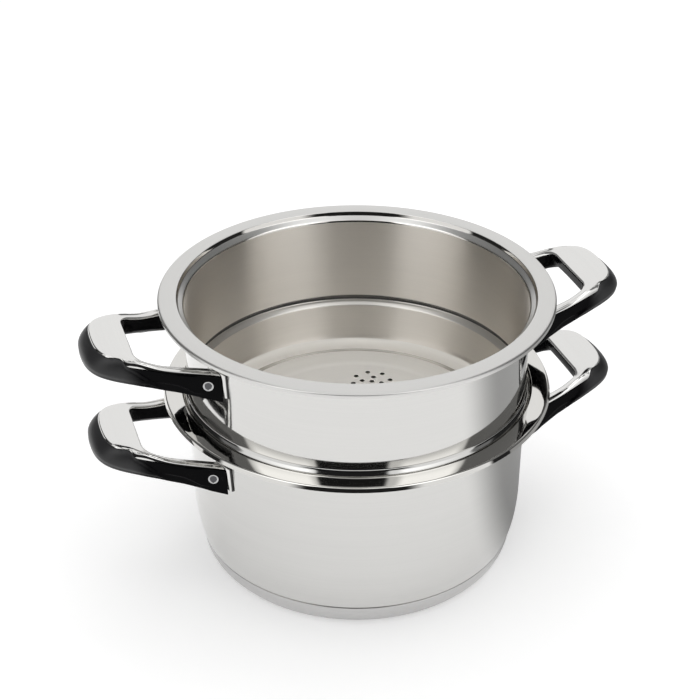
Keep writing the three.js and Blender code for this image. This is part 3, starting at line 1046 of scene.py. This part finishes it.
@dataclass
class HandleLoop:
    """The loop of a handle in its own frame of reach, half width and level, in millimetres."""

    # Its place on the vessel, and the radius at which its arms end on their brackets
    tilt: float
    drop: float
    rim_height: float
    root_radius: float = 104.0
    end_radius: float = 119.4
    # The levels of its top, which dips along the arms, and of its underside
    top: float = 7.5
    saddle_root: float = 5.6
    saddle_low: float = 3.9
    saddle_from: float = 2.0
    saddle_to: float = 36.0
    rise_to: float = 63.0
    bottom_root: float = -13.8
    bottom_nose: float = -7.8
    # Its outline from above: the arms' outer and inner faces, the nose and the finger gap
    nose: float = 84.2
    nose_top: float = 78.2
    nose_pull: tuple[float, float] = (0.74, 0.72)
    arm_outer_root: float = 53.7
    arm_outer_end: float = 34.9
    arm_end: float = 54.0
    gap_reach: float = 53.9
    arm_inner_root: float = 42.4
    arm_inner_end: float = 27.0
    gap_corner: float = 7.0
    # The steel cover, its sheet on the arms and on the bar, and its rounded edges there
    cover: float = 1.4
    bar_cover: float = 0.5
    bar_stations: tuple[float, float] = (0.9, 1.4)
    cover_set: float = 0.4
    cover_lip: float = 0.9
    cover_turns: tuple[float, float, float] = (-0.12, -1.2, -1.6)
    crown: float = 0.5
    edge_blend: float = 14.0
    edge_width: tuple[float, float] = (1.9, 0.9)
    edge_height: tuple[float, float] = (4.0, 1.8)
    edge_foot: float = 0.1
    gap_edge: tuple[float, float] = (4.2, 1.6)
    # The seam between steel and black, by reach and level, and the step that the cover sits on
    seam: float = 0.3
    seam_level: float = 5.0
    seam_line: tuple[tuple[float, float], ...] = (
        (6.0, 4.4), (14.0, 4.0), (24.0, 3.1), (36.0, 2.4), (48.0, 2.8), (57.0, 3.0), (60.0, 3.4), (62.0, 5.3),
        (64.0, 6.8), (67.0, 7.25), (70.0, 6.6), (73.0, 6.2), (77.0, 6.1), (80.0, 6.1),
    )
    hair: float = 0.02
    step_in: float = 1.9
    step_range: tuple[float, float] = (0.6, 0.9)
    step_ease: float = 0.5
    step_nick: float = 0.05
    # The swell of the black nose below the seam
    bulge: float = 2.2
    bulge_top: float = 6.2
    bulge_from: float = 55.0
    bulge_slant: float = 1.67
    bulge_blend: tuple[float, float] = (2.5, 1.5)
    bulge_fade: tuple[float, float] = (5.0, 2.5)
    fullest: float = 0.62
    # The flat panel at an arm's end, and the crease that runs from it along the arm
    panel_foot: float = 14.0
    panel_tip: float = 33.0
    panel_lead: float = 6.0
    panel_blend: tuple[float, float] = (2.0, 5.0)
    side_drop: float = 0.2
    crease_drop: float = 1.5
    crease_share: float = 0.42
    crease_bow: float = 0.7
    crease_least: float = 3.4
    crease_end: float = 12.0
    ledge_width: float = 0.6
    ledge_depth: float = 0.5
    tuck_slope: float = 0.16
    # The rounded underside and its slope up to the finger gap
    toe_rounds: tuple[float, float, float] = (0.9, 1.6, 2.2)
    toe_stations: tuple[float, float] = (0.8, 1.2)
    heel_in: tuple[float, float] = (6.8, 6.0)
    heel_up: tuple[float, float] = (5.2, 5.4)
    heel_sag: float = 0.5
    bar_lift: float = 1.5
    inner_share: float = 0.6
    # The number of cross-sections along an arm and round half the nose
    arm_stations: int = 40
    nose_stations: int = 34

    def matrix(self, side: Side) -> Matrix:
        """Places a handle on its vessel.

        Args:
            side: The side of the vessel.

        Returns:
            The placement, from the loop's millimetres to metres.
        """
        return (
            Matrix.Scale(MM, 4)
            @ Matrix.Rotation(side.turn, 4, "Z")
            @ Matrix.Translation((self.root_radius, 0.0, self.rim_height - self.drop))
            @ Matrix.Rotation(-math.radians(self.tilt), 4, "Y")
        )

    def arm_outer(self, reach: float) -> float:
        """Returns the half width of the arms' outer faces at a reach."""
        return mix(self.arm_outer_root, self.arm_outer_end, reach / self.arm_end)

    def arm_inner(self, reach: float) -> float:
        """Returns the half width of the arms' inner faces at a reach."""
        return mix(self.arm_inner_root, self.arm_inner_end, reach / self.gap_reach)

    def crest(self, reach: float) -> float:
        """Returns the level of the loop's top at a reach: the arms dip between the root and the bar."""
        low = mix(self.saddle_root, self.saddle_low, smoothstep(self.saddle_from, self.saddle_to, reach))
        return mix(low, self.top, smoothstep(self.saddle_to, self.rise_to, reach))

    def bottom(self, reach: float) -> float:
        """Returns the level of the loop's underside at a reach."""
        return mix(self.bottom_root, self.bottom_nose, reach / self.nose)

    def fullness(self, reach: float, level: float) -> float:
        """Returns how far a level has come from the seam to the loop's fullest row, from 0 to 1."""
        share = (self.bulge_top - level) / (self.bulge_top - self.bottom(reach))
        return math.sin(0.5 * math.pi * min(max(share / self.fullest, 0.0), 1.0))

    def root_end(self, half: Callable[[float], float], level: float) -> float:
        """Finds the reach at which an arm meets the bracket on the round wall.

        Args:
            half: The half width at a reach.
            level: The level.

        Returns:
            The reach.
        """
        lean = math.radians(self.tilt)
        reach, rounds = 5.0, 6
        for _ in range(rounds):
            out = math.sqrt(self.end_radius ** 2 - half(reach) ** 2)
            reach = (out - self.root_radius + level * math.sin(lean)) / math.cos(lean)
        return reach

    def outer(self, station: float, level: float) -> Vector:
        """Finds a point of the loop's outer outline.

        Args:
            station: From 0 at the arm's root over 1 at the arm's end to 2 at the nose.
            level: The level.

        Returns:
            Reach and half width.
        """
        full = self.fullness(self.arm_end, level)

        def swell(reach: float) -> float:
            """Finds how far the black nose swells out below the seam.

            Args:
                reach: The reach.

            Returns:
                The swell.
            """
            start, (before, after) = self.bulge_from + self.bulge_slant * level, self.bulge_blend
            base, (fade_low, fade_high) = self.bottom(reach), self.bulge_fade
            grown = smoothstep(start - before, start + after, reach)
            above, below = level - base, self.seam_at(reach) - level
            faded = smoothstep(0.0, fade_low, above) * smoothstep(0.0, fade_high, below)
            return self.bulge * full * grown * faded

        def worn(reach: float) -> float:
            """Finds how far the rounding of the top edge sets the outline back.

            Args:
                reach: The reach.

            Returns:
                The set-back.
            """
            nose = smoothstep(self.arm_end, self.arm_end + self.edge_blend, reach)
            height = mix(*self.edge_height, nose)
            rise = min(max((level - self.crest(reach) + height) / height, 0.0), 1.0)
            return mix(*self.edge_width, nose) * (1.0 - math.sqrt(1.0 - rise * rise))

        def half(reach: float) -> float:
            """Returns the half width at a reach."""
            return self.arm_outer(reach) - worn(reach) + swell(reach)

        if station <= 1.0:
            reach = mix(self.root_end(half, level), self.arm_end, station)
            return Vector((reach, half(reach)))
        end = self.arm_outer_end - worn(self.arm_end)
        tip = mix(self.nose_top, self.nose, full) - worn(self.nose)
        pull = mix(*self.nose_pull, full)
        run = pull * (tip - self.arm_end)
        lean = (self.arm_outer_end - self.arm_outer_root) / self.arm_end
        t = station - 1.0
        corners = (
            Vector((self.arm_end, end)), Vector((self.arm_end + run, end + lean * run)),
            Vector((tip, pull * end)), Vector((tip, 0.0)),
        )
        weights = ((1 - t) ** 3, 3 * t * (1 - t) ** 2, 3 * t * t * (1 - t), t ** 3)
        spot = sum((corner * weight for corner, weight in zip(corners, weights)), Vector((0.0, 0.0)))
        spot.y *= 1.0 + swell(spot.x) / end
        return spot

    def inner(self, station: float, level: float, growth: float = 0.0) -> Vector:
        """Finds a point of the finger gap's outline.

        Args:
            station: From 0 at the arm's root over 1 at the gap's corner to 2 at the middle of the bar.
            level: The level.
            growth: How far the outline is set back into the loop.

        Returns:
            Reach and half width.
        """
        end = self.gap_reach + growth
        turn = end - self.gap_corner

        def half(reach: float) -> float:
            """Returns the half width at a reach."""
            return self.arm_inner(reach) + growth

        if station <= 1.0:
            reach = mix(self.root_end(half, level), turn, station)
            return Vector((reach, half(reach)))
        corner = Vector((end, self.arm_inner_end + growth))
        bar = Vector((end, self.arm_inner_end + growth - self.gap_corner))
        t = (station - 1.0) / 0.5
        if t <= 1.0:
            return Vector((turn, half(turn))) * (1 - t) ** 2 + corner * 2 * t * (1 - t) + bar * t * t
        return Vector((end, bar.y * (2.0 - t)))

    def stations(self) -> list[float]:
        """Returns the stations of half a loop, from the root to the nose."""
        arm = [step / self.arm_stations for step in range(self.arm_stations)]
        return arm + [1.0 + step / self.nose_stations for step in range(self.nose_stations + 1)]

    def seam_at(self, reach: float) -> float:
        """Returns the level at which steel meets black on the loop's outer side, smooth through its marks.

        Args:
            reach: The reach.

        Returns:
            The level.
        """
        marks = self.seam_line
        reach = min(max(reach, marks[0][0]), marks[-1][0])
        first = max(place for place, mark in enumerate(marks[:-1]) if mark[0] <= reach)

        def slope(place: int) -> float:
            """Returns the seam's slope at a mark."""
            before, after = marks[max(place - 1, 0)], marks[min(place + 1, len(marks) - 1)]
            return (after[1] - before[1]) / (after[0] - before[0])

        (start, low), (end, high) = marks[first], marks[first + 1]
        run = end - start
        t = (reach - start) / run
        bend = run * t * (1 - t) * (slope(first) * (1 - t) - slope(first + 1) * t)
        return mix(low, high, t * t * (3 - 2 * t)) + bend

    def cover_ring(self, station: float) -> list[Vector]:
        """Builds a cross-section of the steel cover.

        Args:
            station: From 0 at the arm's root over 1 at the arm's end to 2 at the nose.

        Returns:
            Its points by reach, half width and level.
        """
        seam = self.seam_at(self.outer(station, self.seam_level).x) + self.seam / 2
        inside = self.inner(station, self.saddle_low, self.cover_set)
        bar = smoothstep(*self.bar_stations, station)
        gap_edge = mix(*self.gap_edge, bar)
        low = self.crest(inside.x) - mix(self.cover, self.bar_cover, bar)
        brow = self.outer(station, self.crest(self.outer(station, seam).x))
        out = (brow - inside).normalized()
        ring = [self.lifted(inside, out, self.cover_lip, low)]
        for share in shares(6):
            angle = 0.5 * math.pi * share
            growth = self.cover_set + gap_edge * (1.0 - math.cos(angle))
            spot = self.inner(station, self.saddle_low, growth)
            ring.append(self.lifted(spot, out, 0.0, mix(low, self.crest(spot.x), math.sin(angle))))
        start = self.inner(station, self.saddle_low, self.cover_set + gap_edge)
        for share in shares(4)[1:-1]:
            spot = start.lerp(brow, share)
            level = self.crest(spot.x) + self.crown * math.sin(math.pi * share)
            ring.append(self.lifted(spot, out, 0.0, level))
        for share in shares(8):
            level = mix(seam + self.edge_foot, self.crest(brow.x), math.cos(0.5 * math.pi * share))
            ring.append(self.lifted(self.outer(station, level), out, 0.0, level))
        edge = self.outer(station, seam)
        levels = (seam, seam + self.hair, max(self.crest(edge.x) - self.cover, seam + 2 * self.hair))
        return ring + [self.lifted(edge, out, shift, level) for shift, level in zip(self.cover_turns, levels)]

    def lifted(self, point: Vector, out: Vector, shift: float, level: float) -> Vector:
        """Returns a point of reach and half width at a level, shifted outwards across the loop."""
        return (point + out * shift).to_3d() + Vector((0.0, 0.0, level))

    def crease(self, reach: float) -> float:
        """Finds the crease along an arm's side, which runs down round the end panel.

        Args:
            reach: The reach.

        Returns:
            The level.
        """
        foot = self.bottom(self.panel_foot)
        share = smoothstep(self.panel_foot - self.panel_lead, self.panel_tip, reach)
        return mix(foot - self.crease_drop, self.bottom(reach) * self.crease_share, share ** self.crease_bow)

    def grip_ring(self, station: float) -> list[Vector]:
        """Builds a cross-section of the black grip.

        Args:
            station: From 0 at the arm's root over 1 at the arm's end to 2 at the nose.

        Returns:
            Its points by reach, half width and level.
        """
        seam = self.seam_at(self.outer(station, self.seam_level).x) - self.seam / 2
        rough, inside = self.outer(station, 0.0), self.inner(station, 0.0)
        base, out = self.bottom(rough.x), (rough - inside).normalized()
        edge = self.outer(station, seam)
        middle = inside.lerp(edge, 0.5)
        bar = smoothstep(*self.bar_stations, station)
        seat_middle, seat = (self.crest(spot.x) - self.cover - self.seam for spot in (middle, edge))
        seat_in = self.crest(inside.x) - mix(self.cover, self.bar_cover, bar) - self.seam
        raised = smoothstep(seat - self.step_range[0], seat + self.step_range[1], seam)
        step_at = mix(-self.step_in, self.seam, raised)
        under = max(self.crease(rough.x), base + self.crease_least)
        fold = smoothstep(-self.panel_blend[0], self.panel_blend[1], rough.x - self.panel_foot)
        mark = fold * (1.0 - smoothstep(self.arm_end - self.crease_end, self.arm_end, rough.x))
        heel_in, heel_up = mix(*self.heel_in, bar), mix(*self.heel_up, bar)
        toe_root, toe_arm, toe_nose = self.toe_rounds
        toe = mix(mix(toe_root, toe_arm, fold), toe_nose, smoothstep(*self.toe_stations, station))
        floor_in = base + mix(0.0, self.bar_lift, bar)
        ledge = self.ledge_width * mark + self.hair
        section = [
            (inside, self.step_ease, seat_in), (middle, 0.0, seat_middle),
            (edge, step_at - self.step_ease, seat),
            (edge, step_at - self.step_nick, mix(seat, min(seat, seam), 0.5)),
            (edge, step_at, seam - self.step_nick),
            (edge, mix(-self.step_ease, self.seam + self.hair, raised), seam - 3 * self.hair),
        ]
        for share in shares(9):
            level = mix(seam - self.side_drop, under, share)
            section.append((self.outer(station, level), 0.0, level))

        def tuck(level: float) -> float:
            """Returns how far the side is set in under the crease at a level."""
            return self.ledge_depth * mark + self.tuck_slope * fold * (under - ledge - level)

        for share in shares(5):
            level = mix(under - ledge, base + toe, share)
            section.append((self.outer(station, level), -tuck(level), level))
        low = self.outer(station, base + toe)
        for share in shares(5)[1:]:
            angle = 0.5 * math.pi * share
            inset = tuck(base + toe) + toe * (1 - math.cos(angle))
            section.append((low, -inset, base + toe * (1 - math.sin(angle))))
        for share in shares(6):
            sag = self.heel_sag * math.sin(math.pi * share)
            section.append((inside, heel_in * (1 - share) - sag, floor_in + heel_up * share - sag))
        section.append((inside, 0.0, mix(floor_in + heel_up, seat_in, self.inner_share)))
        section.append((inside, 0.0, seat_in - self.step_ease))
        return [self.lifted(point, out, shift, level) for point, shift, level in section]

    def swept(self, ring_at: Callable[[float], list[Vector]], place: Matrix) -> bmesh.types.BMesh:
        """Sweeps a cross-section round the whole loop.

        Args:
            ring_at: Gives the cross-section at a station of half a loop.
            place: The handle's placement.

        Returns:
            A closed bmesh.
        """
        half = [ring_at(station) for station in self.stations()]
        other = [[Vector((p.x, -p.y, p.z)) for p in ring] for ring in half[-2::-1]]
        rings = half + other
        bm = bmesh.new()
        verts = [bm.verts.new(place @ point) for point in rings[0]]
        edges = [bm.edges.new((a, b)) for a, b in zip(verts, [*verts[1:], verts[0]])]
        ends = [list(edges)]
        for ring in rings[1:]:
            grown = bmesh.ops.extrude_edge_only(bm, edges=edges)["geom"]
            edges = [part for part in grown if isinstance(part, bmesh.types.BMEdge)]
            fresh = [part for part in grown if isinstance(part, bmesh.types.BMVert)]
            for vert, point in zip(fresh, ring):
                vert.co = place @ point
        ends.append(edges)
        for loop in ends:
            bmesh.ops.edgeloop_fill(bm, edges=loop)
        bmesh.ops.remove_doubles(bm, verts=bm.verts, dist=DOUBLE)
        bmesh.ops.dissolve_degenerate(bm, edges=bm.edges, dist=WELD)
        bmesh.ops.recalc_face_normals(bm, faces=bm.faces)
        return bm


@dataclass
class Handle:
    """One handle of a vessel, made of cover, grip, brackets, pins and discs."""

    vessel: Vessel
    side: Side
    loop: HandleLoop
    pin_reach: float = 11.0
    pin_level: float = -3.0
    disc_radius: float = 3.4
    disc_thickness: float = 1.2
    disc_stand: float = 0.4
    disc_sides: int = 48
    disc_ring: float = 0.75
    disc_dish: tuple[float, float] = (0.3, -0.3)
    disc_crown: tuple[float, float] = (0.9, 0.06)
    disc_edge: float = 0.12
    bracket_edge: float = 0.25

    @property
    def label(self) -> str:
        """The start of the names of this handle's nodes."""
        return f"{self.vessel.value}_{self.side.label}"

    def end_of(self, arm: Arm) -> str:
        """Returns the word for the end that an arm stands at."""
        towards_back = arm.value * math.cos(self.side.turn) > 0
        return "back" if towards_back else "front"

    def build_cover(self) -> bpy.types.Object:
        """Builds the steel cover and returns it."""
        bm = self.loop.swept(self.loop.cover_ring, self.loop.matrix(self.side))
        return finish_mesh(f"{self.label}_cover_plate", bm, sharp=32.0)

    def build_grip(self) -> bpy.types.Object:
        """Builds the black grip and returns it."""
        bm = self.loop.swept(self.loop.grip_ring, self.loop.matrix(self.side))
        return finish_mesh(f"{self.label}_grip_loop", bm, sharp=34.0)

    def build_bracket(self, arm: Arm) -> bpy.types.Object:
        """Builds a bracket with softened edges from its CAD node.

        Args:
            arm: The arm that it holds.

        Returns:
            The bracket.
        """
        name = f"{self.label}_{self.end_of(arm)}_bracket"
        bm = bmesh.new()
        bm.from_mesh(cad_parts[name].data)
        bmesh.ops.remove_doubles(bm, verts=bm.verts, dist=DOUBLE)
        bmesh.ops.dissolve_limit(bm, angle_limit=math.radians(1.0), verts=bm.verts, edges=bm.edges)
        keen = [edge for edge in bm.edges if edge.is_manifold and edge.calc_face_angle() > math.radians(40.0)]
        bmesh.ops.bevel(
            bm, geom=keen, offset=self.bracket_edge * MM, offset_type="OFFSET", segments=2, profile=0.5,
            affect="EDGES", material=-1, clamp_overlap=True)
        return finish_mesh(f"{name}_plate", bm, sharp=40.0)

    def build_disc(self, arm: Arm) -> bpy.types.Object:
        """Builds a plain dished disc on the outer face of an arm's end.

        Args:
            arm: The arm.

        Returns:
            The disc.
        """
        loop = self.loop
        lean = math.atan2(loop.arm_outer_root - loop.arm_outer_end, loop.arm_end)
        spot = Vector((self.pin_reach, arm.value * loop.arm_outer(self.pin_reach), self.pin_level))
        out = Vector((math.sin(lean), arm.value * math.cos(lean), 0.0))
        turn = out.to_track_quat("Z", "Y").to_matrix().to_4x4()
        stand = Matrix.Translation(spot + out * self.disc_stand) @ turn
        bm = bmesh.new()
        bmesh.ops.create_cone(
            bm, cap_ends=True, segments=self.disc_sides, radius1=self.disc_radius, radius2=self.disc_radius,
            depth=self.disc_thickness, matrix=Matrix.Translation((0.0, 0.0, -self.disc_thickness / 2)))
        face = max(bm.faces, key=lambda part: part.calc_center_median().z)
        bmesh.ops.inset_region(bm, faces=[face], thickness=self.disc_ring, depth=0.0)
        bmesh.ops.inset_region(bm, faces=[face], thickness=self.disc_dish[0], depth=self.disc_dish[1])
        face.material_index = 1
        bmesh.ops.inset_region(bm, faces=[face], thickness=self.disc_crown[0], depth=self.disc_crown[1])
        rims = [edge for edge in bm.edges if edge.calc_face_angle(0.0) > math.radians(30.0)]
        bmesh.ops.bevel(
            bm, geom=rims, offset=self.disc_edge, offset_type="OFFSET", segments=2, profile=0.5,
            affect="EDGES", material=-1, clamp_overlap=True)
        bm.transform(loop.matrix(self.side) @ stand)
        bmesh.ops.recalc_face_normals(bm, faces=bm.faces)
        return finish_mesh(f"{self.label}_{self.end_of(arm)}_button", bm, sharp=35.0)

    def dress(self, finishes: dict[str, bpy.types.Material]) -> None:
        """Builds every piece of the handle and puts it in place with its finish.

        Args:
            finishes: The materials by the names of their finishes.
        """
        body, disc_finishes = self.vessel, [finishes[FASTENER.name], finishes[DISH.name]]
        settle(self.build_cover(), body, [f"{self.label}_cover"], [finishes[COVER.name]])
        settle(self.build_grip(), body, [f"{self.label}_grip"], [finishes[GRIP.name]])
        for arm in Arm:
            stem = f"{self.label}_{self.end_of(arm)}"
            settle(self.build_bracket(arm), body, [f"{stem}_bracket"], [finishes[BRACKET.name]])
            settle(self.build_disc(arm), body, [f"{stem}_disc"], disc_finishes)
            recoat(f"{stem}_pin", finishes[FASTENER.name])


# Studio


class Sky(Nodes):
    """The world's node tree, with shares of the sky by the turn from the camera and by the rise."""

    def __init__(self, tree: bpy.types.NodeTree, near: Vector) -> None:
        """Finds turn and rise of a direction.

        Args:
            tree: The world's node tree.
            near: The level direction towards the camera.
        """
        super().__init__(tree)
        x, y, z = self.split(tree.nodes.new("ShaderNodeTexCoord").outputs["Generated"])
        across = Vector((-near.y, near.x))
        self.turn = self.math("ARCTAN2", self.along(x, y, across), self.along(x, y, near))
        self.aside = self.math("ABSOLUTE", self.turn)
        self.rise = self.math("ARCSINE", z)

    def above(self, angle: Socket, edge: Sequence[float]) -> Socket:
        """Returns the share of the sky above an angle, eased over an edge in degrees."""
        return self.eased(angle, math.radians(edge[0]), math.radians(edge[1]))

    def below(self, angle: Socket, edge: Sequence[float]) -> Socket:
        """Returns the share of the sky below an angle, eased over an edge in degrees."""
        return self.math("SUBTRACT", 1.0, self.above(angle, edge))

    def patch(self, strength: float, *parts: Socket) -> Socket:
        """Sets a strength where parts of the sky meet.

        Args:
            strength: The strength.
            *parts: The parts, as shares from 0 to 1.

        Returns:
            The strength there, and 0 elsewhere.
        """
        result = parts[0]
        for part in parts[1:]:
            result = self.math("MULTIPLY", result, part)
        return self.math("MULTIPLY", result, strength)


@dataclass
class Studio:
    """A pale floor, soft light and the camera. Places are in metres, edges in the sky in degrees."""

    marks: Group
    camera_at: tuple[float, float, float] = (-0.2840, -0.8590, 0.6831)
    target: tuple[float, float, float] = (-0.0044, 0.0014, 0.1502)
    lens: float = 78.6
    sensor: float = 36.0
    clip: tuple[float, float] = (0.05, 50.0)
    lamp_at: tuple[float, float, float] = (0.1, 0.15, 1.5)
    lamp_aim: tuple[float, float, float] = (0.0, 0.0, 0.1)
    lamp_size: float = 1.6
    lamp_power: float = 7.0
    fill: float = 0.7
    floor_size: float = 6.0
    floor_gap: float = 0.0004
    floor_colour: tuple[float, float, float] = (0.93, 0.93, 0.93)
    # The colour of the painted shade on one side of the floor, which only reflections show.
    floor_shade_colour: tuple[float, float, float] = (0.5, 0.5, 0.5)
    floor_tone: float = 0.98
    floor_roughness: float = 0.9
    floor_mark_size: float = 3.0
    floor_marks: float = 0.02
    floor_lift: float = 0.3
    shade_turn: float = 125.0
    shade_range: tuple[float, float] = (0.42, 0.87)
    darkness: float = 0.985
    gap_left: tuple[float, float] = (-28.0, -25.0)
    gap_right: tuple[float, float] = (19.0, 23.0)
    gap_top: tuple[float, float] = (44.0, 52.0)
    tall_darkness: float = 0.32
    tall_left: tuple[float, float] = (-26.0, -23.0)
    tall_right: tuple[float, float] = (8.0, 12.0)
    side_from: tuple[float, float] = (75.0, 79.0)
    side_to: tuple[float, float] = (150.0, 155.0)
    side_tones: tuple[tuple[float, float, float], ...] = ((0.98, 16.0, 23.0), (0.80, 58.0, 68.0))
    horizon_top: tuple[float, float] = (20.0, 28.0)
    horizon_side: tuple[float, float] = (26.0, 38.0)
    softbox: float = 0.95
    softbox_from: tuple[float, float] = (26.0, 34.0)
    softbox_to: tuple[float, float] = (68.0, 77.0)
    softbox_low: tuple[float, float] = (24.0, 40.0)
    softbox_high: tuple[float, float] = (66.0, 76.0)

    def build(self) -> None:
        """Builds floor, world, lamp and camera."""
        scene = bpy.context.scene
        scene.view_settings.view_transform = "Standard"
        self.floor()
        self.world()
        self.lamp()
        lens = bpy.data.cameras.new("Camera")
        lens.lens = self.lens
        lens.sensor_width = self.sensor
        lens.clip_start, lens.clip_end = self.clip
        camera = bpy.data.objects.new("Camera", lens)
        self.aim(camera, self.camera_at, self.target)
        scene.camera = camera

    def aim(self, made: bpy.types.Object, place: Sequence[float], target: Sequence[float]) -> None:
        """Stands a lamp or a camera at a place, turned to a target, and links it to the scene.

        Args:
            made: The lamp or camera.
            place: Where it stands.
            target: What it faces.
        """
        made.location = place
        made.rotation_euler = (Vector(target) - Vector(place)).to_track_quat("-Z", "Y").to_euler()
        bpy.context.scene.collection.objects.link(made)

    def near(self) -> Vector:
        """Returns the level direction from the pot to the camera."""
        return Vector(self.camera_at[:2]).normalized()

    def floor(self) -> None:
        """Builds the pale floor that the pot stands on, with painted shade on one side that only the metal's
        reflections show.
        """
        bm = bmesh.new()
        bmesh.ops.create_grid(bm, x_segments=4, y_segments=4, size=self.floor_size)
        bmesh.ops.translate(bm, verts=bm.verts, vec=(0.0, 0.0, -self.floor_gap))
        made = finish_mesh("studio_floor", bm, sharp=30.0)
        shader = Shader("Studio floor")
        cloud = shader.group(self.marks, Size=self.floor_mark_size, Contrast=self.floor_marks)
        shader.bsdf.inputs["Roughness"].default_value = self.floor_roughness
        shader.bsdf.inputs["Specular IOR Level"].default_value = 0.0
        shader.bsdf.inputs["Emission Color"].default_value = (1.0, 1.0, 1.0, 1.0)
        x, y, _ = shader.split(shader.place)
        beside = self.near()
        beside.rotate(Matrix.Rotation(math.radians(self.shade_turn), 2))
        cosine = shader.math("DIVIDE", shader.along(x, y, beside), shader.distance(x, y))
        path = shader.tree.nodes.new("ShaderNodeLightPath").outputs
        # Painted shade: the floor goes darker on one side, for glossy rays only.
        reflected_shade = shader.math("MULTIPLY", path["Is Glossy Ray"], shader.eased(cosine, *self.shade_range))
        tone = shader.math("SUBTRACT", shader.math("ADD", cloud, self.floor_tone), reflected_shade)
        shader.tinted(tone, self.floor_shade_colour, self.floor_colour)
        seen = shader.math("SUBTRACT", path["Is Glossy Ray"], reflected_shade)
        for ray in ("Is Camera Ray", "Is Transmission Ray"):
            seen = shader.math("MAXIMUM", seen, path[ray])
        shader.feed("Emission Strength", shader.math("MULTIPLY", seen, self.floor_lift))
        made.data.materials.append(shader.material)

    def world(self) -> None:
        """Builds a white studio, dark between its side lights, beside them and along the camera's horizon."""
        world = bpy.data.worlds.new("Studio")
        bpy.context.scene.world = world
        world.use_nodes = True
        sky = Sky(world.node_tree, self.near())
        sides = (sky.above(sky.aside, self.side_from), sky.below(sky.aside, self.side_to))
        gap = (sky.above(sky.turn, self.gap_left), sky.below(sky.turn, self.gap_right))
        tall = (sky.above(sky.turn, self.tall_left), sky.below(sky.turn, self.tall_right))
        horizon = (sky.below(sky.aside, self.horizon_side), sky.below(sky.rise, self.horizon_top))
        dark = [
            sky.patch(self.darkness, *gap, sky.below(sky.rise, self.gap_top)),
            sky.patch(self.tall_darkness, *tall),
            sky.patch(self.darkness, *horizon),
        ]
        for strength, *edge in self.side_tones:
            dark.append(sky.patch(strength, *sides, sky.below(sky.rise, edge)))
        deepest = dark[0]
        for share in dark[1:]:
            deepest = sky.math("MAXIMUM", deepest, share)
        softbox = sky.patch(
            self.softbox, sky.above(sky.aside, self.softbox_from), sky.below(sky.aside, self.softbox_to),
            sky.above(sky.rise, self.softbox_low), sky.below(sky.rise, self.softbox_high))
        path = sky.tree.nodes.new("ShaderNodeLightPath").outputs
        tone = sky.math("MULTIPLY", sky.math("SUBTRACT", softbox, deepest), path["Is Glossy Ray"])
        seen = path["Is Camera Ray"]
        for ray in ("Is Glossy Ray", "Is Transmission Ray"):
            seen = sky.math("MAXIMUM", seen, path[ray])
        level = sky.tree.nodes.new("ShaderNodeMix")
        unseen_level, seen_level = MIX_VALUES
        level.inputs[unseen_level].default_value = self.fill
        sky.tree.links.new(seen, level.inputs[0])
        sky.tree.links.new(sky.math("ADD", 1.0, tone), level.inputs[seen_level])
        back = sky.tree.nodes["Background"].inputs
        back["Color"].default_value = (1.0, 1.0, 1.0, 1.0)
        sky.tree.links.new(level.outputs[0], back["Strength"])

    def lamp(self) -> None:
        """Builds the square softbox overhead, which lights the pot but doesn't show in its metal."""
        light = bpy.data.lights.new("Overhead softbox", "AREA")
        light.size = self.lamp_size
        light.energy = self.lamp_power
        made = bpy.data.objects.new("Overhead softbox", light)
        made.visible_glossy = False
        self.aim(made, self.lamp_at, self.lamp_aim)


def zone_finishes(finishes: dict[str, bpy.types.Material], rim: SteelFinish) -> list[bpy.types.Material]:
    """Returns a vessel's materials in the order of its zones.

    Args:
        finishes: The materials by the names of their finishes.
        rim: The finish of the vessel's rim.

    Returns:
        The materials.
    """
    return [finishes[part.name] for part in (OUTSIDE, rim, INSIDE, FLOOR, SEAT, PAINTED_SHADE, GROOVE)]


def main() -> None:
    """Builds the pot, the insert, their handles and the studio in order."""
    logging.basicConfig(level=logging.INFO, format="%(name)s: %(message)s")
    rings, marks, grain = brushed_rings(), handling_marks(), moulded_grain()
    finishes = {steel.name: steel.material(rings, marks) for steel in STEELS}
    finishes[GRIP.name] = GRIP.material(grain, marks)
    pot, insert = Pot(Rim(skirt_lean=0.85)), Insert(Rim(skirt_lean=0.1))
    settle(pot.shell(), Vessel.POT, ["pot_shell"], zone_finishes(finishes, POT_RIM))
    settle(pot.cap(), Vessel.POT, ["pot_base_cap"], [finishes[BASE.name]])
    settle(insert.shell(), Vessel.INSERT, ["insert_shell"], zone_finishes(finishes, INSERT_RIM))
    recoat("pot_base_core", finishes[ALUMINIUM.name])
    loops = {
        Vessel.POT: HandleLoop(tilt=10.6, drop=27.0, rim_height=pot.height),
        Vessel.INSERT: HandleLoop(tilt=8.2, drop=24.0, rim_height=pot.height + insert.rise),
    }
    for vessel, loop in loops.items():
        for side in Side:
            Handle(vessel, side, loop).dress(finishes)
    Studio(marks).build()
    LOG.info("studio: floor, light and camera")


if __name__ == "__main__":
    main()
